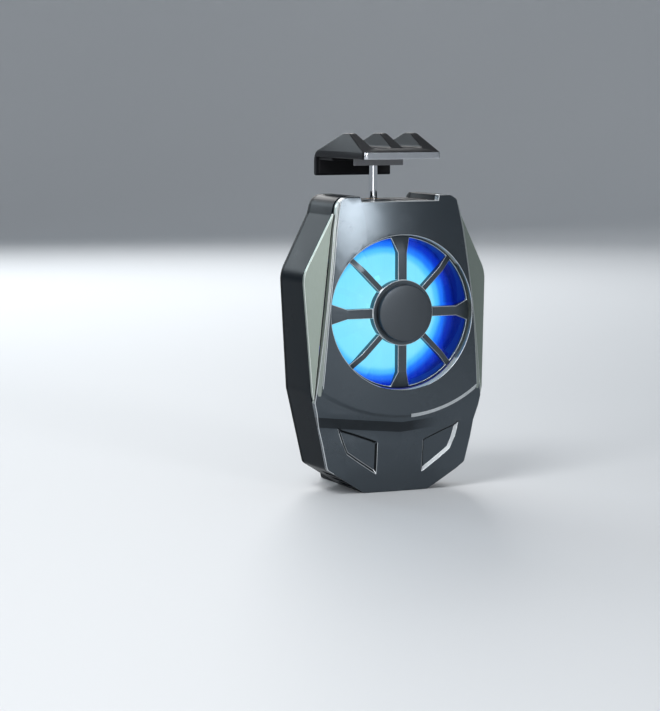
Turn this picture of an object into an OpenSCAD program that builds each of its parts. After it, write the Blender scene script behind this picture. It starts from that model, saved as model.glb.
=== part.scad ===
// Clip-on phone cooler. A sprung upper jaw and a fixed lower jaw hold a phone upright against a
// Peltier cold plate, and a lit fan behind a spoked grille blows on the heat sink.
//
// Every piece is drawn lying on its back: X across, Y up the object, Z from the phone's back
// towards the viewer ("depth"). upright() then stands it up: the phone's back becomes the plane
// y = 0, the viewer is at -Y, and the surface that the cooler stands on is z = 0.

/* [Phone and jaws] */
// Width of the phone, edge to edge between the jaw pads
phone_w = 78.1; // [77:0.1:84]
// Thickness of the phone
phone_t = 7.4; // [6:0.1:10]
// Room between the phone's screen and the lip pads
grip_room = 0.3; // [0.1:0.1:1]
// Thickness of the jaw pads
grip_pad_t = 0.8; // [0.5:0.1:1.2]
// Thickness of the jaw lips
lip_t = 1.6; // [1.2:0.1:3]
// How far the lips reach over the phone's screen
lip_reach = 4; // [2:0.1:6]
// Thickness of the lower jaw's shelf, from the standing surface to its pad
shelf_t = 3.7; // [3:0.1:4.5]
// Height of the lower jaw's leg, which is screwed to the rear shell
leg_h = 9; // [8:0.1:10]
// Width of the upper jaw
jaw_w = 21; // [18:0.1:24]
// How far the jaw's sides lean in, from the band to the crest
jaw_lean = 1.1; // [0.5:0.1:2]
// Radius of the jaw's front corners
jaw_corner_r = 1.1; // [0.6:0.1:2]
// Height of the upper jaw's ridges above its underside
jaw_h = 6.3; // [5:0.1:9]
// Reach of the upper jaw in front of the phone's back
jaw_front = 20.8; // [18:0.1:24]
// Depth at which the ridges start to fall to the front
crest_front = 9.5; // [8.5:0.1:15]
// Depth at which the ridges start to fall to the rear
crest_rear = 6.2; // [4:0.1:7]
// Height of the jaw's rear edge above its underside
jaw_rear_h = 1; // [0.8:0.1:3]
// Spacing of the ridges
ridge_pitch = 8.4; // [7:0.1:10]
// Width of a ridge's top
ridge_top = 2; // [1:0.1:3]
// Width of the groove floors between the ridges
groove_w = 5.2; // [3:0.1:6]
// Depth of the grooves
groove_depth = 3.7; // [2:0.1:3.9]
// Height of the bright band on the jaw's front
band_h = 1.7; // [1:0.1:3]
// Thickness of the bright band
band_t = 0.5; // [0.3:0.1:1]
// Width of the foot plate under the jaw
foot_w = 13.4; // [11:0.1:16]
// Width of the foot plate's rear edge
foot_rear_w = 7.8; // [6:0.1:10]
// Depth of the foot plate's straight front part
foot_lip = 1; // [0.6:0.1:2]
// Thickness of the foot plate
foot_t = 1.9; // [1.5:0.1:2.5]
// Depth of the foot plate, rear to front
foot_len = 6.5; // [5:0.1:8]

/* [Clamp rod and spring] */
// Diameter of the clamp rod
rod_d = 2.2; // [1.8:0.1:2.4]
// Depth of the rod's axis in front of the phone's back
rod_depth = 3.6; // [3.4:0.1:3.9]
// How far the rod reaches into the jaw
rod_grip = 3.2; // [2:0.1:4]
// Wall of the guide bush
bush_wall = 0.7; // [0.5:0.05:0.8]
// Length of the guide bush
bush_len = 5; // [3:0.1:6]
// Diameter of the collar on the rod's lower end
collar_d = 3.5; // [3.2:0.1:3.8]
// Height of the collar
collar_h = 2.4; // [1.5:0.1:3]
// Length of the spring at this opening
spring_len = 14; // [13:0.1:15]
// Diameter of the spring wire
spring_wire = 0.4; // [0.3:0.05:0.5]
// Number of turns in the spring
spring_turns = 8; // [5:1:10]

/* [Casing outline] */
// Height of the casing
body_h = 74.4; // [73:0.1:76]
// Width of the casing at its shoulders
body_w = 50; // [48:0.2:56]
// Height of the shoulders
shoulder_y = 54.8; // [52:0.1:58]
// Width of the casing at its neck
neck_w = 35.2; // [34.6:0.1:38]
// Height of the neck
neck_y = 69.6; // [68.6:0.1:70.2]
// Width of the casing at its top edge
top_w = 32.8; // [32.6:0.1:36]
// Width of the casing at its hips
hip_w = 46.8; // [45:0.1:50]
// Height of the hips
hip_y = 25.7; // [24:0.1:30]
// Width of the casing at its jowls
jowl_w = 38; // [36:0.1:42]
// Height of the jowls
jowl_y = 6.4; // [5:0.1:8]
// Width of the casing where it stands
base_w = 17.6; // [15:0.1:20]
// Radius of the top corners
top_r = 3.6; // [1:0.1:4]
// Radius of the shoulder corners
shoulder_r = 8; // [4:0.1:10]
// Radius of the jowl corners
jowl_r = 1.5; // [0.5:0.1:3]
// Radius of the neck corners
neck_r = 2; // [1:0.1:3]
// Radius of the hip corners
hip_r = 6; // [3:0.1:8]
// Radius of the cover's edge beside the fan
waist_r = 20; // [15:0.5:22]
// Radius of the corners that the casing stands on
base_r = 0.8; // [0.4:0.1:1.2]
// Wall of the rear shell
wall = 1.8; // [1.4:0.1:2.2]
// Depth of the back plate's rear face
back_face = 1; // [0.7:0.1:1.2]
// Depth of the rear shell's rear edge, where the back plate ends
shell_rear = 3.2; // [3:0.1:3.6]
// Chamfer round the back plate
back_chamfer = 1; // [0.3:0.1:1.5]
// Width of the channel across the casing's top, at its floor
channel_w = 21; // [18:0.1:22]
// Depth of the channel
channel_depth = 1.35; // [1:0.05:2]
// How much each side of the channel leans out
channel_lean = 0.3; // [0:0.1:1.2]
// Thickness of the channel's floor
channel_floor_t = 1.9; // [1.5:0.1:2.5]

/* [Front cover] */
// Width of the cover's top edge
cover_top_w = 32.4; // [31:0.1:32.6]
// Width of the cover at the bend below its neck
cover_neck_w = 35.6; // [34.4:0.1:36.4]
// Height of that bend
cover_neck_y = 66.5; // [65:0.1:68]
// Height of the cover's widest point, on the hips' slope
cover_hip_y = 23.5; // [22:0.1:24]
// Depth of the cover's crown
crown_depth = 23.2; // [22.6:0.1:25]
// Height of the crown
crown_y = 40; // [36:0.5:44]
// Radius of the crown from top to bottom
crown_r = 210; // [180:5:300]
// Radius of the cover from side to side
barrel_r = 110; // [90:2:160]
// Thickness of the cover round the fan
cover_t = 2.4; // [1.8:0.1:2.8]
// Radius of the arched step below the fan
brow_r = 30; // [29:0.5:34]
// Distance from the fan's opening down to the middle of the step
brow_drop = 6.3; // [5:0.1:8]
// Height of the step, whose face leans out by as much
brow_step = 0.6; // [0.3:0.05:0.8]
// Width of the ledge beside the raised face, at the neck
ledge_neck_w = 0.6; // [0.2:0.1:0.8]
// Width of the ledge beside the raised face, at the fan's height
ledge_waist_w = 0.5; // [0.2:0.05:0.55]
// Width of the ledge beside the raised face, at the hips
ledge_hip_w = 1.4; // [0.8:0.1:1.8]
// Distance from the step down to the fold's upper edge
fold_drop = 1.8; // [1:0.1:3]
// Width of the slanted fold above the chin
fold_w = 2.7; // [1.5:0.1:2.7]
// Rise of the fold to each side, in degrees
fold_rise = 5.2; // [0:0.2:8]
// Depth of the chin below the fold
chin_depth = 20.6; // [20:0.1:21]
// Height at which the chin starts to curve back
chin_y = 13; // [11:0.1:14]
// Depth of the chin at its lower lip
chin_lip_depth = 19.8; // [19:0.1:20.4]
// Height of the chin's lower lip
chin_lip_y = 5; // [3:0.1:7]
// Depth of the chin where it stands
chin_base_depth = 18.2; // [17:0.1:19]
// Thickness of the cover at the chin
chin_t = 1.4; // [1.2:0.1:1.8]
// Depth of the two pockets in the chin, whose walls lean out by as much
pocket_depth = 0.7; // [0.4:0.05:0.9]
// Distance of the pockets from the middle
pocket_gap = 6.2; // [4:0.1:8]
// Height of a pocket's inner upper corner
pocket_top_y = 13.2; // [11:0.1:14]
// Height of a pocket's inner lower corner
pocket_low_y = 4.8; // [3:0.1:6]
// Distance of a pocket's tip from the middle
pocket_tip_x = 16.8; // [15:0.1:17.5]
// Height of a pocket's tip
pocket_tip_y = 17; // [15:0.1:17.6]
// Distance of a pocket's knee from the middle
pocket_knee_x = 14; // [13:0.1:15]
// Height of a pocket's knee
pocket_knee_y = 10.6; // [9:0.1:11.5]

/* [Side panels] */
// Thickness of the side panels
panel_t = 1; // [0.6:0.1:1.4]
// Depth of the panels' outer corners, at the shoulders
panel_corner_depth = 17.3; // [16.5:0.1:18]
// Depth of the panels' upper ends, at the neck
panel_top_depth = 18.2; // [17.5:0.1:18.8]
// Depth of the panels' lower ends
panel_foot_depth = 19.4; // [18.8:0.1:19.8]
// Gap between a panel and the cover
panel_gap = 0.15; // [0.05:0.05:0.3]
// Thickness of the ledges that the panels lie on
panel_ledge_t = 1.2; // [0.8:0.1:1.6]

/* [Cooling stack] */
// Thickness of the soft pad that touches the phone
contact_pad_t = 0.5; // [0.3:0.05:0.6]
// Thickness of the cold plate
cold_plate_t = 1.7; // [1.4:0.1:2]
// Width of the cold plate
cold_plate_w = 32; // [28:0.2:34]
// Height of the cold plate
cold_plate_h = 28; // [26:0.2:28.4]
// Height of the cold plate's middle
cold_y = 28.5; // [28.2:0.1:28.8]
// Side of the square Peltier module
peltier_w = 24; // [20:0.5:26]
// Thickness of each Peltier ceramic
ceramic_t = 0.7; // [0.5:0.05:0.9]
// Height of the Peltier legs
leg_len = 2; // [1.8:0.05:2.2]
// Number of Peltier legs along each side
leg_count = 8; // [4:1:10]
// Side of a Peltier leg
leg_w = 1.5; // [1:0.1:1.8]
// Diameter of the Peltier leads
lead_d = 0.8; // [0.6:0.1:1]
// Width of the heat sink
sink_w = 32.4; // [31:0.2:32.8]
// Height of the heat sink's lower edge
sink_low_y = 10; // [9.6:0.1:10.4]
// Height of the heat sink's upper edge
sink_high_y = 65.5; // [62:0.1:66]
// Thickness of the heat sink's base
sink_base_t = 1.6; // [1.2:0.1:2]
// Height of the heat sink's fins
fin_h = 4; // [3:0.1:4.4]
// Thickness of a fin
fin_t = 0.7; // [0.5:0.05:0.9]
// Number of fins
fin_count = 14; // [8:1:16]

/* [Fan] */
// Diameter of the fan's opening
fan_d = 38.6; // [36:0.2:39]
// Height of the fan's axis
fan_y = 45.4; // [45:0.1:46]
// Width of the cover beside the opening
fan_rim = 1; // [0.9:0.05:1.4]
// Wall of the fan's duct
duct_wall = 0.8; // [0.6:0.05:0.8]
// Room between the fins and the fan's frame
fan_gap = 0.5; // [0.3:0.1:0.8]
// Thickness of the frame's base and struts
strut_t = 1.2; // [1:0.1:1.5]
// Width of the frame's struts
strut_w = 2.4; // [1.5:0.1:3]
// Diameter of the frame's motor base
motor_base_d = 19.6; // [18:0.2:22]
// Width of the ledge that carries the grille
grille_ledge_w = 0.6; // [0.4:0.05:0.7]
// Height of the ledge that carries the grille
grille_ledge_t = 0.7; // [0.5:0.05:1]
// Thickness of the motor board
motor_board_t = 0.6; // [0.4:0.1:0.8]
// Number of LED chips round the motor board
led_count = 8; // [4:1:12]
// Outer diameter of the impeller's hub
hub_d = 15.2; // [14.6:0.2:16.4]
// Wall of the impeller's hub
hub_wall = 1; // [0.8:0.05:1]
// Height of the impeller's hub
hub_h = 4.9; // [4.7:0.1:5]
// Gap between the blade tips and the grille ledge
tip_gap = 0.5; // [0.3:0.05:1]
// Number of blades
blade_count = 9; // [5:1:13]
// Height of the blades along the axis
blade_h = 4; // [3:0.1:4.2]
// Turn of a blade from its rear edge to its front edge, in degrees
blade_turn = 38; // [20:1:50]
// Width of a blade across its edge
blade_t = 1.6; // [1:0.1:2]
// Running gaps inside the motor
motor_gap = 0.35; // [0.25:0.05:0.5]
// Wall of the rotor's steel yoke
yoke_t = 0.45; // [0.3:0.05:0.5]
// Thickness of the rotor's magnet ring
magnet_t = 1; // [0.7:0.05:1.1]
// Diameter of the fan's shaft
shaft_d = 1.5; // [1.2:0.1:1.6]
// Wall of the bearing sleeve
sleeve_wall = 0.75; // [0.5:0.05:0.8]
// Wall of the frame's bearing tube
tube_wall = 0.7; // [0.5:0.05:0.8]
// Thickness of the closed end of the bearing tube
tube_end_t = 0.4; // [0.3:0.05:0.5]
// Diameter of the fan's lead
fan_lead_d = 0.8; // [0.6:0.1:1]

/* [Grille] */
// Depth of the grille's hub face
grille_depth = 21.7; // [21.5:0.1:22.2]
// Diameter of the grille's hub
grille_hub_d = 16.3; // [14:0.1:19]
// Thickness of the grille's hub and spokes
grille_t = 2.3; // [1.8:0.1:2.4]
// How far the spokes lie below the hub face
spoke_drop = 0.3; // [0.1:0.05:0.6]
// Width of the four main spokes
spoke_w = 2.4; // [1.6:0.1:3.2]
// Width of the four slanted spokes
thin_spoke_w = 1.4; // [1:0.1:2]
// Width of the main spokes at the rim
flare_w = 6.3; // [4:0.1:8]
// Length of the flared ends
flare_len = 4.4; // [3:0.1:6]
// Width of the grille's outer ring
grille_ring_w = 0.6; // [0.4:0.05:0.9]
// Thickness of the grille's outer ring
grille_ring_t = 0.8; // [0.5:0.05:1.2]
// Diameter of the hub cap
cap_d = 14.2; // [12:0.1:15.6]
// Height of the hub cap's edge
cap_h = 1.8; // [1:0.1:2.4]
// Height of the hub cap's dome above its edge
cap_dome = 0.35; // [0.1:0.05:0.8]
// Diameter of the pin behind the hub cap
cap_pin_d = 4; // [2:0.1:6]
// Length of the pin behind the hub cap
cap_pin_len = 1.4; // [0.8:0.1:1.6]

/* [Electronics and screws] */
// Distance of the control board's ends from the hips and the shoulders
board_end_gap = 1.8; // [1.4:0.1:3]
// Room between the control board and the heat sink
board_room = 0.6; // [0.4:0.1:0.9]
// Thickness of the control board
board_t = 0.8; // [0.6:0.1:1]
// Height of the posts that the control board stands on
board_post_h = 1; // [0.9:0.1:1.6]
// Width of the USB socket's shell
usb_w = 8.94; // [8.8:0.02:9.2]
// Thickness of the USB socket's shell, outside
usb_h = 3.26; // [3:0.02:3.4]
// Sheet thickness of the USB socket's shell
usb_sheet = 0.3; // [0.2:0.05:0.4]
// Length of the USB socket
usb_len = 7; // [6:0.1:7.2]
// Length of the USB socket's closed rear end
usb_end = 1; // [0.5:0.1:1.5]
// Width of the tongue in the USB socket
tongue_w = 6.6; // [6:0.1:6.9]
// Thickness of the tongue in the USB socket
tongue_t = 0.7; // [0.6:0.05:0.8]
// Thread diameter of the case screws
case_screw_d = 1.6; // [1.4:0.1:2]
// Length of the case screws below their heads
case_screw_len = 7; // [5:0.5:10]
// Diameter of the posts that the case screws bite in
post_d = 3.8; // [3.4:0.1:4]
// Length of the fan's screws below their heads
fan_screw_len = 4; // [3:0.1:4.5]
// Length of the lower jaw's screws below their heads
jaw_screw_len = 3; // [2.4:0.1:3.4]
// Length of the foot plate's screws below their heads
foot_screw_len = 2.4; // [2:0.1:2.5]
// Distance of the posts from the middle
post_x = 12.5; // [12:0.1:13]
// Height of the lower posts
post_low_y = 7.5; // [7.2:0.1:7.7]
// Height of the upper posts
post_high_y = 68.4; // [68:0.1:68.8]
// Thread diameter of the small screws
small_screw_d = 1.4; // [1.2:0.1:1.5]
// Distance of the heat sink's screws from the middle
sink_screw_x = 13.5; // [12.5:0.1:14]

/* [Hidden] */

$fn = 64;
// Facets of the large curved faces
large_fn = 360;
// Steps in a rounded corner of an outline
corner_steps = 6;
// Extra length of a cut past the faces that it opens
over = 1;
// Side of the blocks that stand for half spaces
far = 150;
// Clearance of a part that slides or turns in a bore
run_fit = 0.03;
// Clearance of a part that is seated in another
seat_fit = 0.05;
// Clearance round a part that lies in an opening
lie_gap = 0.1;
// Extra width of a screw's through hole, and of the recess for its head
hole_slack = 0.2;
// Room past a screw's tip
tip_room = 0.8;
// Clearance between faces that pass each other
pass_gap = 0.35;
// Overlap that joins two shapes of one piece
fuse = 0.3;

// Colours
gunmetal = "#4a525a";
satin = "#a9b8ad";
navy = "#141d24";
charcoal = "#35363a";
chrome = "#d8dade";
steel = "#9a9ea3";
aluminium = "#b9bdc2";
rubber = "#1b1b1d";
ceramic = "#eceae4";
copper = "#b8733a";
board_green = "#1d5b3c";

// Screw heads and the walls round screws
small_head_over = 1.2;
small_head_h = 0.7;
small_head_d = small_screw_d + small_head_over;
case_head_over = 1.6;
case_head_h = 1;
case_head_d = case_screw_d + case_head_over;
head_sink = 0.2;
post_wall = 0.8;
head_edge = 1.2;

// Heights of the jaws
grip_low_y = shelf_t + grip_pad_t;
grip_high_y = grip_low_y + phone_w;
jaw_y = grip_high_y + grip_pad_t;
crest_y = jaw_y + jaw_h;
lip_depth = -(phone_t + grip_room + grip_pad_t);
rear_depth = lip_depth - lip_t;
lip_pad_depth = lip_depth + grip_pad_t;
pad_front = back_face - pass_gap;
pad_edge = 0.6;
foot_rear = rod_depth - foot_len * 0.42;
foot_front = foot_rear + foot_len;
foot_y = jaw_y - foot_t;

// Rod, bush, collar and spring
channel_y = body_h - channel_depth;
bush_d = rod_d + 2 * bush_wall;
bush_y = channel_y - bush_len;
collar_top = bush_y - spring_len;
rod_low_y = collar_top - collar_h;
spring_r = rod_d / 2 + spring_wire / 2 + pass_gap / 2;
groove_r = max(collar_d / 2, spring_r + spring_wire / 2) + pass_gap;
jaw_drop = foot_y - channel_y - pass_gap;
groove_low_y = rod_low_y - jaw_drop - pass_gap;
bush_block_w = bush_d + 4;
bush_block_depth = rod_depth + bush_d / 2 + 1;

// Depths of the cooling stack
cold_depth = contact_pad_t;
peltier_depth = cold_depth + cold_plate_t;
legs_depth = peltier_depth + ceramic_t;
hot_depth = legs_depth + leg_len;
sink_depth = hot_depth + ceramic_t;
fin_depth = sink_depth + sink_base_t;
fin_top = fin_depth + fin_h;
sink_screw_low = sink_low_y + 2.2;
sink_screw_high = cold_y + cold_plate_h / 2 + 2.4;
sink_post_d = small_screw_d + 2 * post_wall;
leg_pitch = peltier_w / leg_count;
lead_rows = [for (j = [leg_count - 3, leg_count - 2]) cold_y + (j + 0.5) * leg_pitch - peltier_w / 2];

// Radii and depths of the fan
fan_r = fan_d / 2;
duct_r = fan_r + duct_wall;
frame_depth = fin_top + fan_gap;
frame_face = frame_depth + strut_t;
motor_board_face = frame_face + motor_board_t;
hub_gap = 0.25;
blade_rise = 0.5;
ledge_drop = 0.5;
hub_depth = motor_board_face + hub_gap;
hub_face = hub_depth + hub_h;
blade_depth = hub_depth + blade_rise;
grille_rear = grille_depth - grille_t;
ledge_depth = grille_rear - ledge_drop;
ledge_r = fan_r - grille_ledge_w;
tip_r = ledge_r - tip_gap;
hub_r = hub_d / 2;
yoke_r = hub_r - hub_wall;
magnet_r = yoke_r - yoke_t;
stator_r = magnet_r - magnet_t - motor_gap;
shaft_r = shaft_d / 2;
sleeve_bore = shaft_r + run_fit;
sleeve_r = sleeve_bore + sleeve_wall;
tube_r = sleeve_r + tube_wall;
hub_top_t = 0.9;
rotor_step = 0.2;
boss_h = 0.5;
yoke_face = hub_face - hub_top_t;
shaft_face = hub_face - hub_top_t / 2;
boss_d = 2 * (tube_r - pass_gap);
boss_face = yoke_face - yoke_t - boss_h;
tube_face = boss_face - pass_gap;
tube_floor = frame_depth + tube_end_t;
clip_t = 0.3;
clip_depth = tube_floor + clip_t;
shaft_depth = tube_floor + lie_gap;
sleeve_depth = clip_depth + clip_t + rotor_step;
winding_t = 0.4;
arm_w = 1.3;
core_t = 0.5;
shoe_t = 0.7;
stator_depth = motor_board_face + winding_t + pass_gap;
stator_face = boss_face - winding_t - boss_h;
ear_wall = 1.3;
ear_merge = 0.4;
ear_rise = 0.6;
ear_t = 2;
ear_d = small_screw_d + 2 * ear_wall;
ear_r = duct_r + ear_d / 2 - ear_merge;
ear_depth = frame_depth + ear_rise;
ear_face = ear_depth + ear_t;

// Electronics
board_low_y = hip_y + board_end_gap;
board_high_y = shoulder_y - board_end_gap;
board_y = (board_low_y + board_high_y) / 2;
board_x = sink_w / 2 + board_room;
board_edge = min(side_at(board_low_y), side_at(board_high_y)) - wall - hole_slack;
board_depth = shell_rear + board_post_h;
board_face = board_depth + board_t;
board_post_d = small_screw_d + 2 * post_wall;
board_mid_x = (board_x + board_edge) / 2;
usb_depth = board_face + usb_h / 2;
usb_inset = 0.3;
usb_mouth = side_at(board_y) - usb_inset;
usb_end_x = usb_mouth - usb_len;
lead_edge = 0.9;
fan_lead_x = board_edge - fan_lead_d / 2 - lead_edge;
component_gap = 0.5;
component_len = 1.5;
component_h = 1.1;
component_step = 0.7;

// Tips of the screws and the block that the lower jaw is screwed to
case_tip = back_face + head_sink + case_head_h + case_screw_len;
fan_tip = ear_depth + fan_screw_len;
jaw_tip = back_face + head_sink + small_head_h + jaw_screw_len;
board_tip = back_face + head_sink + tip_room;
jaw_block_t = jaw_tip + tip_room + post_wall - shell_rear;
jaw_screw_x = base_w / 2 - small_head_d / 2 - head_edge;
jaw_screw_y = leg_h - small_head_d / 2 - head_edge;
foot_screw_x = foot_w / 2 - small_head_d / 2 - head_edge;
foot_screw_depth = foot_front - small_head_d / 2 - head_edge;

// Outlines run clockwise from the top right; each corner is [x, y, radius]
hip_mix = (cover_hip_y - jowl_y) / (hip_y - jowl_y);
cover_hip_x = (jowl_w + (hip_w - jowl_w) * hip_mix) / 2;
shell_outline = both_sides([
    [top_w / 2, body_h, top_r],
    [neck_w / 2, neck_y, neck_r],
    [body_w / 2, shoulder_y, shoulder_r],
    [hip_w / 2, hip_y, hip_r],
    [jowl_w / 2, jowl_y, jowl_r],
    [base_w / 2, 0, base_r]
]);
cover_outline = both_sides([
    [cover_top_w / 2, body_h, top_r],
    [cover_neck_w / 2, cover_neck_y, neck_r],
    [fan_r + fan_rim, fan_y, waist_r],
    [cover_hip_x, cover_hip_y, 0],
    [jowl_w / 2, jowl_y, jowl_r],
    [base_w / 2, 0, base_r]
]);

// Outline of the raised face, inside the cover's
raised_outline = both_sides([
    [cover_top_w / 2 - ledge_neck_w, body_h + over, 0],
    [cover_neck_w / 2 - ledge_neck_w, cover_neck_y, neck_r],
    [fan_r + fan_rim - ledge_waist_w, fan_y, waist_r],
    [cover_hip_x - ledge_hip_w, cover_hip_y, 0],
    [cover_hip_x - ledge_hip_w, 0, 0]
]);

// Front surfaces as [depth, height] lines that are turned about an upright axis
brow_y = fan_y - fan_r - brow_drop;
fold_y = brow_y - fold_drop;
top_edge = 0.4;
top_ease = 0.6;
chin_reach = 10;
face_low = 12;
face_steps = 14;
face_heights = concat(
    [for (i = [0:face_steps]) face_low + (body_h - top_edge - face_low) * i / face_steps],
    [body_h - top_edge / 3, body_h]
);
face_line = [for (y = face_heights) [face(y) - max(0, y - body_h + top_edge) * top_ease, y]];
chin_line = [
    [chin_base_depth, 0], [chin_lip_depth, chin_lip_y], [chin_depth, chin_y],
    [chin_depth, fold_y + chin_reach]
];
part_line = concat(
    [[chin_base_depth - chin_t, 0], [chin_lip_depth - chin_t, chin_lip_y],
     [chin_depth - chin_t, chin_y]],
    [for (y = face_heights) if (y > cover_hip_y) [face(y) - cover_t, y]]
);

// Corners of the right panel's plane
panel_corner = [body_w / 2, shoulder_y, panel_corner_depth];
panel_top = [neck_w / 2, neck_y, panel_top_depth];
panel_foot = [cover_hip_x, cover_hip_y, panel_foot_depth];
panel_rise = 0.5;
panel_normal = unit(cross(panel_top - panel_corner, panel_foot - panel_corner));

function unit(v) = v / norm(v);

function both_sides(right) = concat(
    right, [for (i = [len(right) - 1:-1:0]) [-right[i][0], right[i][1], right[i][2]]]);

function flat(c) = [c[0], c[1]];

function face(y) = crown_depth - (y - crown_y) * (y - crown_y) / (2 * crown_r);

// Distance of the casing's side from the middle at a height between hips and shoulders
function side_at(y) = (hip_w + (body_w - hip_w) * (y - hip_y) / (shoulder_y - hip_y)) / 2;

// How far the front falls back at a distance from the middle
function barrel_fall(x) = barrel_r - sqrt(barrel_r * barrel_r - x * x);

// Depth of the chin's surface at a place
function chin_at(x, y) = lookup(y, [for (p = chin_line) [p[1], p[0]]]) - barrel_fall(x);

function lifted(line, lift) = [for (p = line) [p[0] + lift, p[1]]];

// Normal that points into a clockwise outline from its edge a to b
function inward(a, b) = let (e = unit(flat(b) - flat(a))) [e[1], -e[0]];

// Outline moved in by t, with its corner radii following
function inset(corners, t) = [for (i = [0:len(corners) - 1])
    let (n = len(corners), p = corners[(i + n - 1) % n], q = corners[i], r = corners[(i + 1) % n],
         u = inward(p, q), v = inward(q, r), m = flat(q) + t * (u + v) / (1 + u * v),
         bend = cross(u, v) < 0 ? q[2] - t : q[2] + t)
    [m[0], m[1], q[2] == 0 ? 0 : max(bend, 0.1)]];

// Points of a corner q with its radius, between its neighbours p and r
function corner_arc(p, q, r) =
    let (u = unit(flat(p) - flat(q)), v = unit(flat(r) - flat(q)), half = acos(u * v) / 2,
         c = flat(q) + unit(u + v) * q[2] / sin(half), reach = q[2] / tan(half),
         a = flat(q) + u * reach - c, b = flat(q) + v * reach - c,
         start = atan2(a[1], a[0]), sweep = atan2(cross(a, b), a * b))
    [for (k = [0:corner_steps])
        let (w = start + sweep * k / corner_steps) c + q[2] * [cos(w), sin(w)]];

function rounded(corners) = [for (i = [0:len(corners) - 1])
    let (n = len(corners), q = corners[i])
    each q[2] == 0 ? [flat(q)]
        : corner_arc(corners[(i + n - 1) % n], q, corners[(i + 1) % n])];

// Stands a piece up from its lying position
module upright() {
    rotate([90, 0, 0]) children();
}

// Repeats a piece on both sides of the middle
module on_both_sides() {
    for (side = [0, 1]) mirror([side, 0, 0]) children();
}

// Places a piece on the fan's axis
module on_fan() {
    translate([0, fan_y, 0]) children();
}

// Prism of an outline between two depths
module slab(corners, from, to) {
    translate([0, 0, from]) linear_extrude(to - from) polygon(rounded(corners));
}

// Prism across the object of a [depth, height] outline
module across(width) {
    rotate([0, -90, 0]) linear_extrude(width, center = true) children();
}

// Prism of a [width, depth] outline between two heights
module plan(corners, from, to) {
    translate([0, from, 0])
        rotate([-90, 0, 0])
            linear_extrude(to - from)
                mirror([0, 1]) polygon(rounded(corners));
}

// Block between two corners
module block(from, to) {
    translate(from) cube(to - from);
}

// Cylinder along the depth between two depths
module post(x, y, d, from, to) {
    translate([x, y, from]) cylinder(d = d, h = to - from);
}

// Solid behind a front surface whose upright axis lies barrel_r behind the crown
module barrel(line) {
    axis = crown_depth - barrel_r;
    last = len(line) - 1;
    translate([0, 0, axis])
        rotate([-90, 0, 0])
            rotate_extrude($fn = large_fn)
                polygon(concat([[0, line[0][1]]], [for (p = line) [p[0] - axis, p[1]]],
                               [[0, line[last][1]]]));
}

// Everything above the slanted fold, which rises to one side
module above_fold(side) {
    axis = crown_depth - barrel_r;
    upper = face(fold_y) - brow_step;
    slope = (upper - chin_depth) / fold_w;
    run = 8;
    low = fold_y - fold_w - run / 2;
    high = fold_y + run;
    translate([0, fold_y, 0])
        rotate([0, 0, side * fold_rise])
            translate([0, -fold_y, axis])
                rotate([-90, 0, 0])
                    rotate_extrude($fn = large_fn)
                        polygon([[0, low], [upper - axis + (low - fold_y) * slope, low],
                                 [upper - axis + (high - fold_y) * slope, high],
                                 [upper - axis + (high - fold_y) * slope, far], [0, far]]);
}

// Layered front of the cover: face above the arched step, cheeks above the fold, chin below
module front_form() {
    intersection() {
        barrel(face_line);
        slab(raised_outline, 0, crown_depth + over);
        translate([0, brow_y + brow_r, 0])
            cylinder(r1 = brow_r + face(brow_y), r2 = brow_r + face(brow_y) - crown_depth - over,
                     h = crown_depth + over, $fn = large_fn);
    }
    intersection() {
        barrel(lifted(face_line, -brow_step));
        above_fold(1);
        above_fold(-1);
    }
    barrel(chin_line);
}

// Space behind both side panels, lowered by an offset
module behind_panels(offset) {
    module behind_right() {
        translate(panel_corner - offset * panel_normal)
            rotate([-asin(panel_normal[1]), atan2(panel_normal[0], panel_normal[2]), 0])
                translate([-far, -far, -far])
                    cube([2 * far, 2 * far, far]);
    }
    intersection() {
        behind_right();
        mirror([1, 0, 0]) behind_right();
    }
}

// Channel across the casing's top
module channel() {
    half = channel_w / 2;
    rise = 2 * channel_depth;
    lean = channel_lean * rise / channel_depth;
    translate([0, 0, -over])
        linear_extrude(far)
            polygon([[-half, channel_y], [half, channel_y], [half + lean, channel_y + rise],
                     [-half - lean, channel_y + rise]]);
}

// Bore for the guide bush, and the room for rod, collar and spring below it
module rod_room() {
    translate([0, bush_y, rod_depth])
        rotate([-90, 0, 0])
            cylinder(d = bush_d + 2 * seat_fit, h = bush_len + over);
    translate([0, groove_low_y, rod_depth])
        rotate([-90, 0, 0])
            cylinder(r = groove_r, h = bush_y - groove_low_y);
}

// Screw along the depth: head at the given depth, shank going on from it
module screw(x, y, d, head_d, head_h, len, depth) {
    translate([x, y, depth]) {
        difference() {
            union() {
                cylinder(d = head_d, h = head_h);
                cylinder(d = d, h = head_h + len);
            }
            translate([0, 0, -over]) cylinder(d = d * 0.8, h = over + head_h / 2, $fn = 6);
        }
    }
}

// Places of the case screws and their posts
module at_case_posts() {
    for (y = [post_low_y, post_high_y])
        on_both_sides() translate([post_x, y, 0]) children();
}

// Places of the heat sink's screws
module at_sink_screws() {
    for (y = [sink_screw_low, sink_screw_high])
        on_both_sides() translate([sink_screw_x, y, 0]) children();
}

// Places of the fan frame's ears
module at_fan_ears() {
    on_fan()
        for (turn = [45:90:315])
            rotate([0, 0, turn]) translate([ear_r, 0, 0]) children();
}

// Places of the control board's screws
module at_board_screws() {
    for (y = [board_low_y + board_post_d / 2, board_high_y - board_post_d / 2])
        translate([board_mid_x, y, 0]) children();
}

// Outline of the USB socket, along the board's height
module usb_section(shrink) {
    half_w = usb_w / 2 - shrink;
    half_h = usb_h / 2 - shrink;
    polygon(rounded([[half_h, half_w, half_h * 0.9], [half_h, -half_w, half_h * 0.9],
                     [-half_h, -half_w, half_h * 0.9], [-half_h, half_w, half_h * 0.9]]));
}

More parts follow.
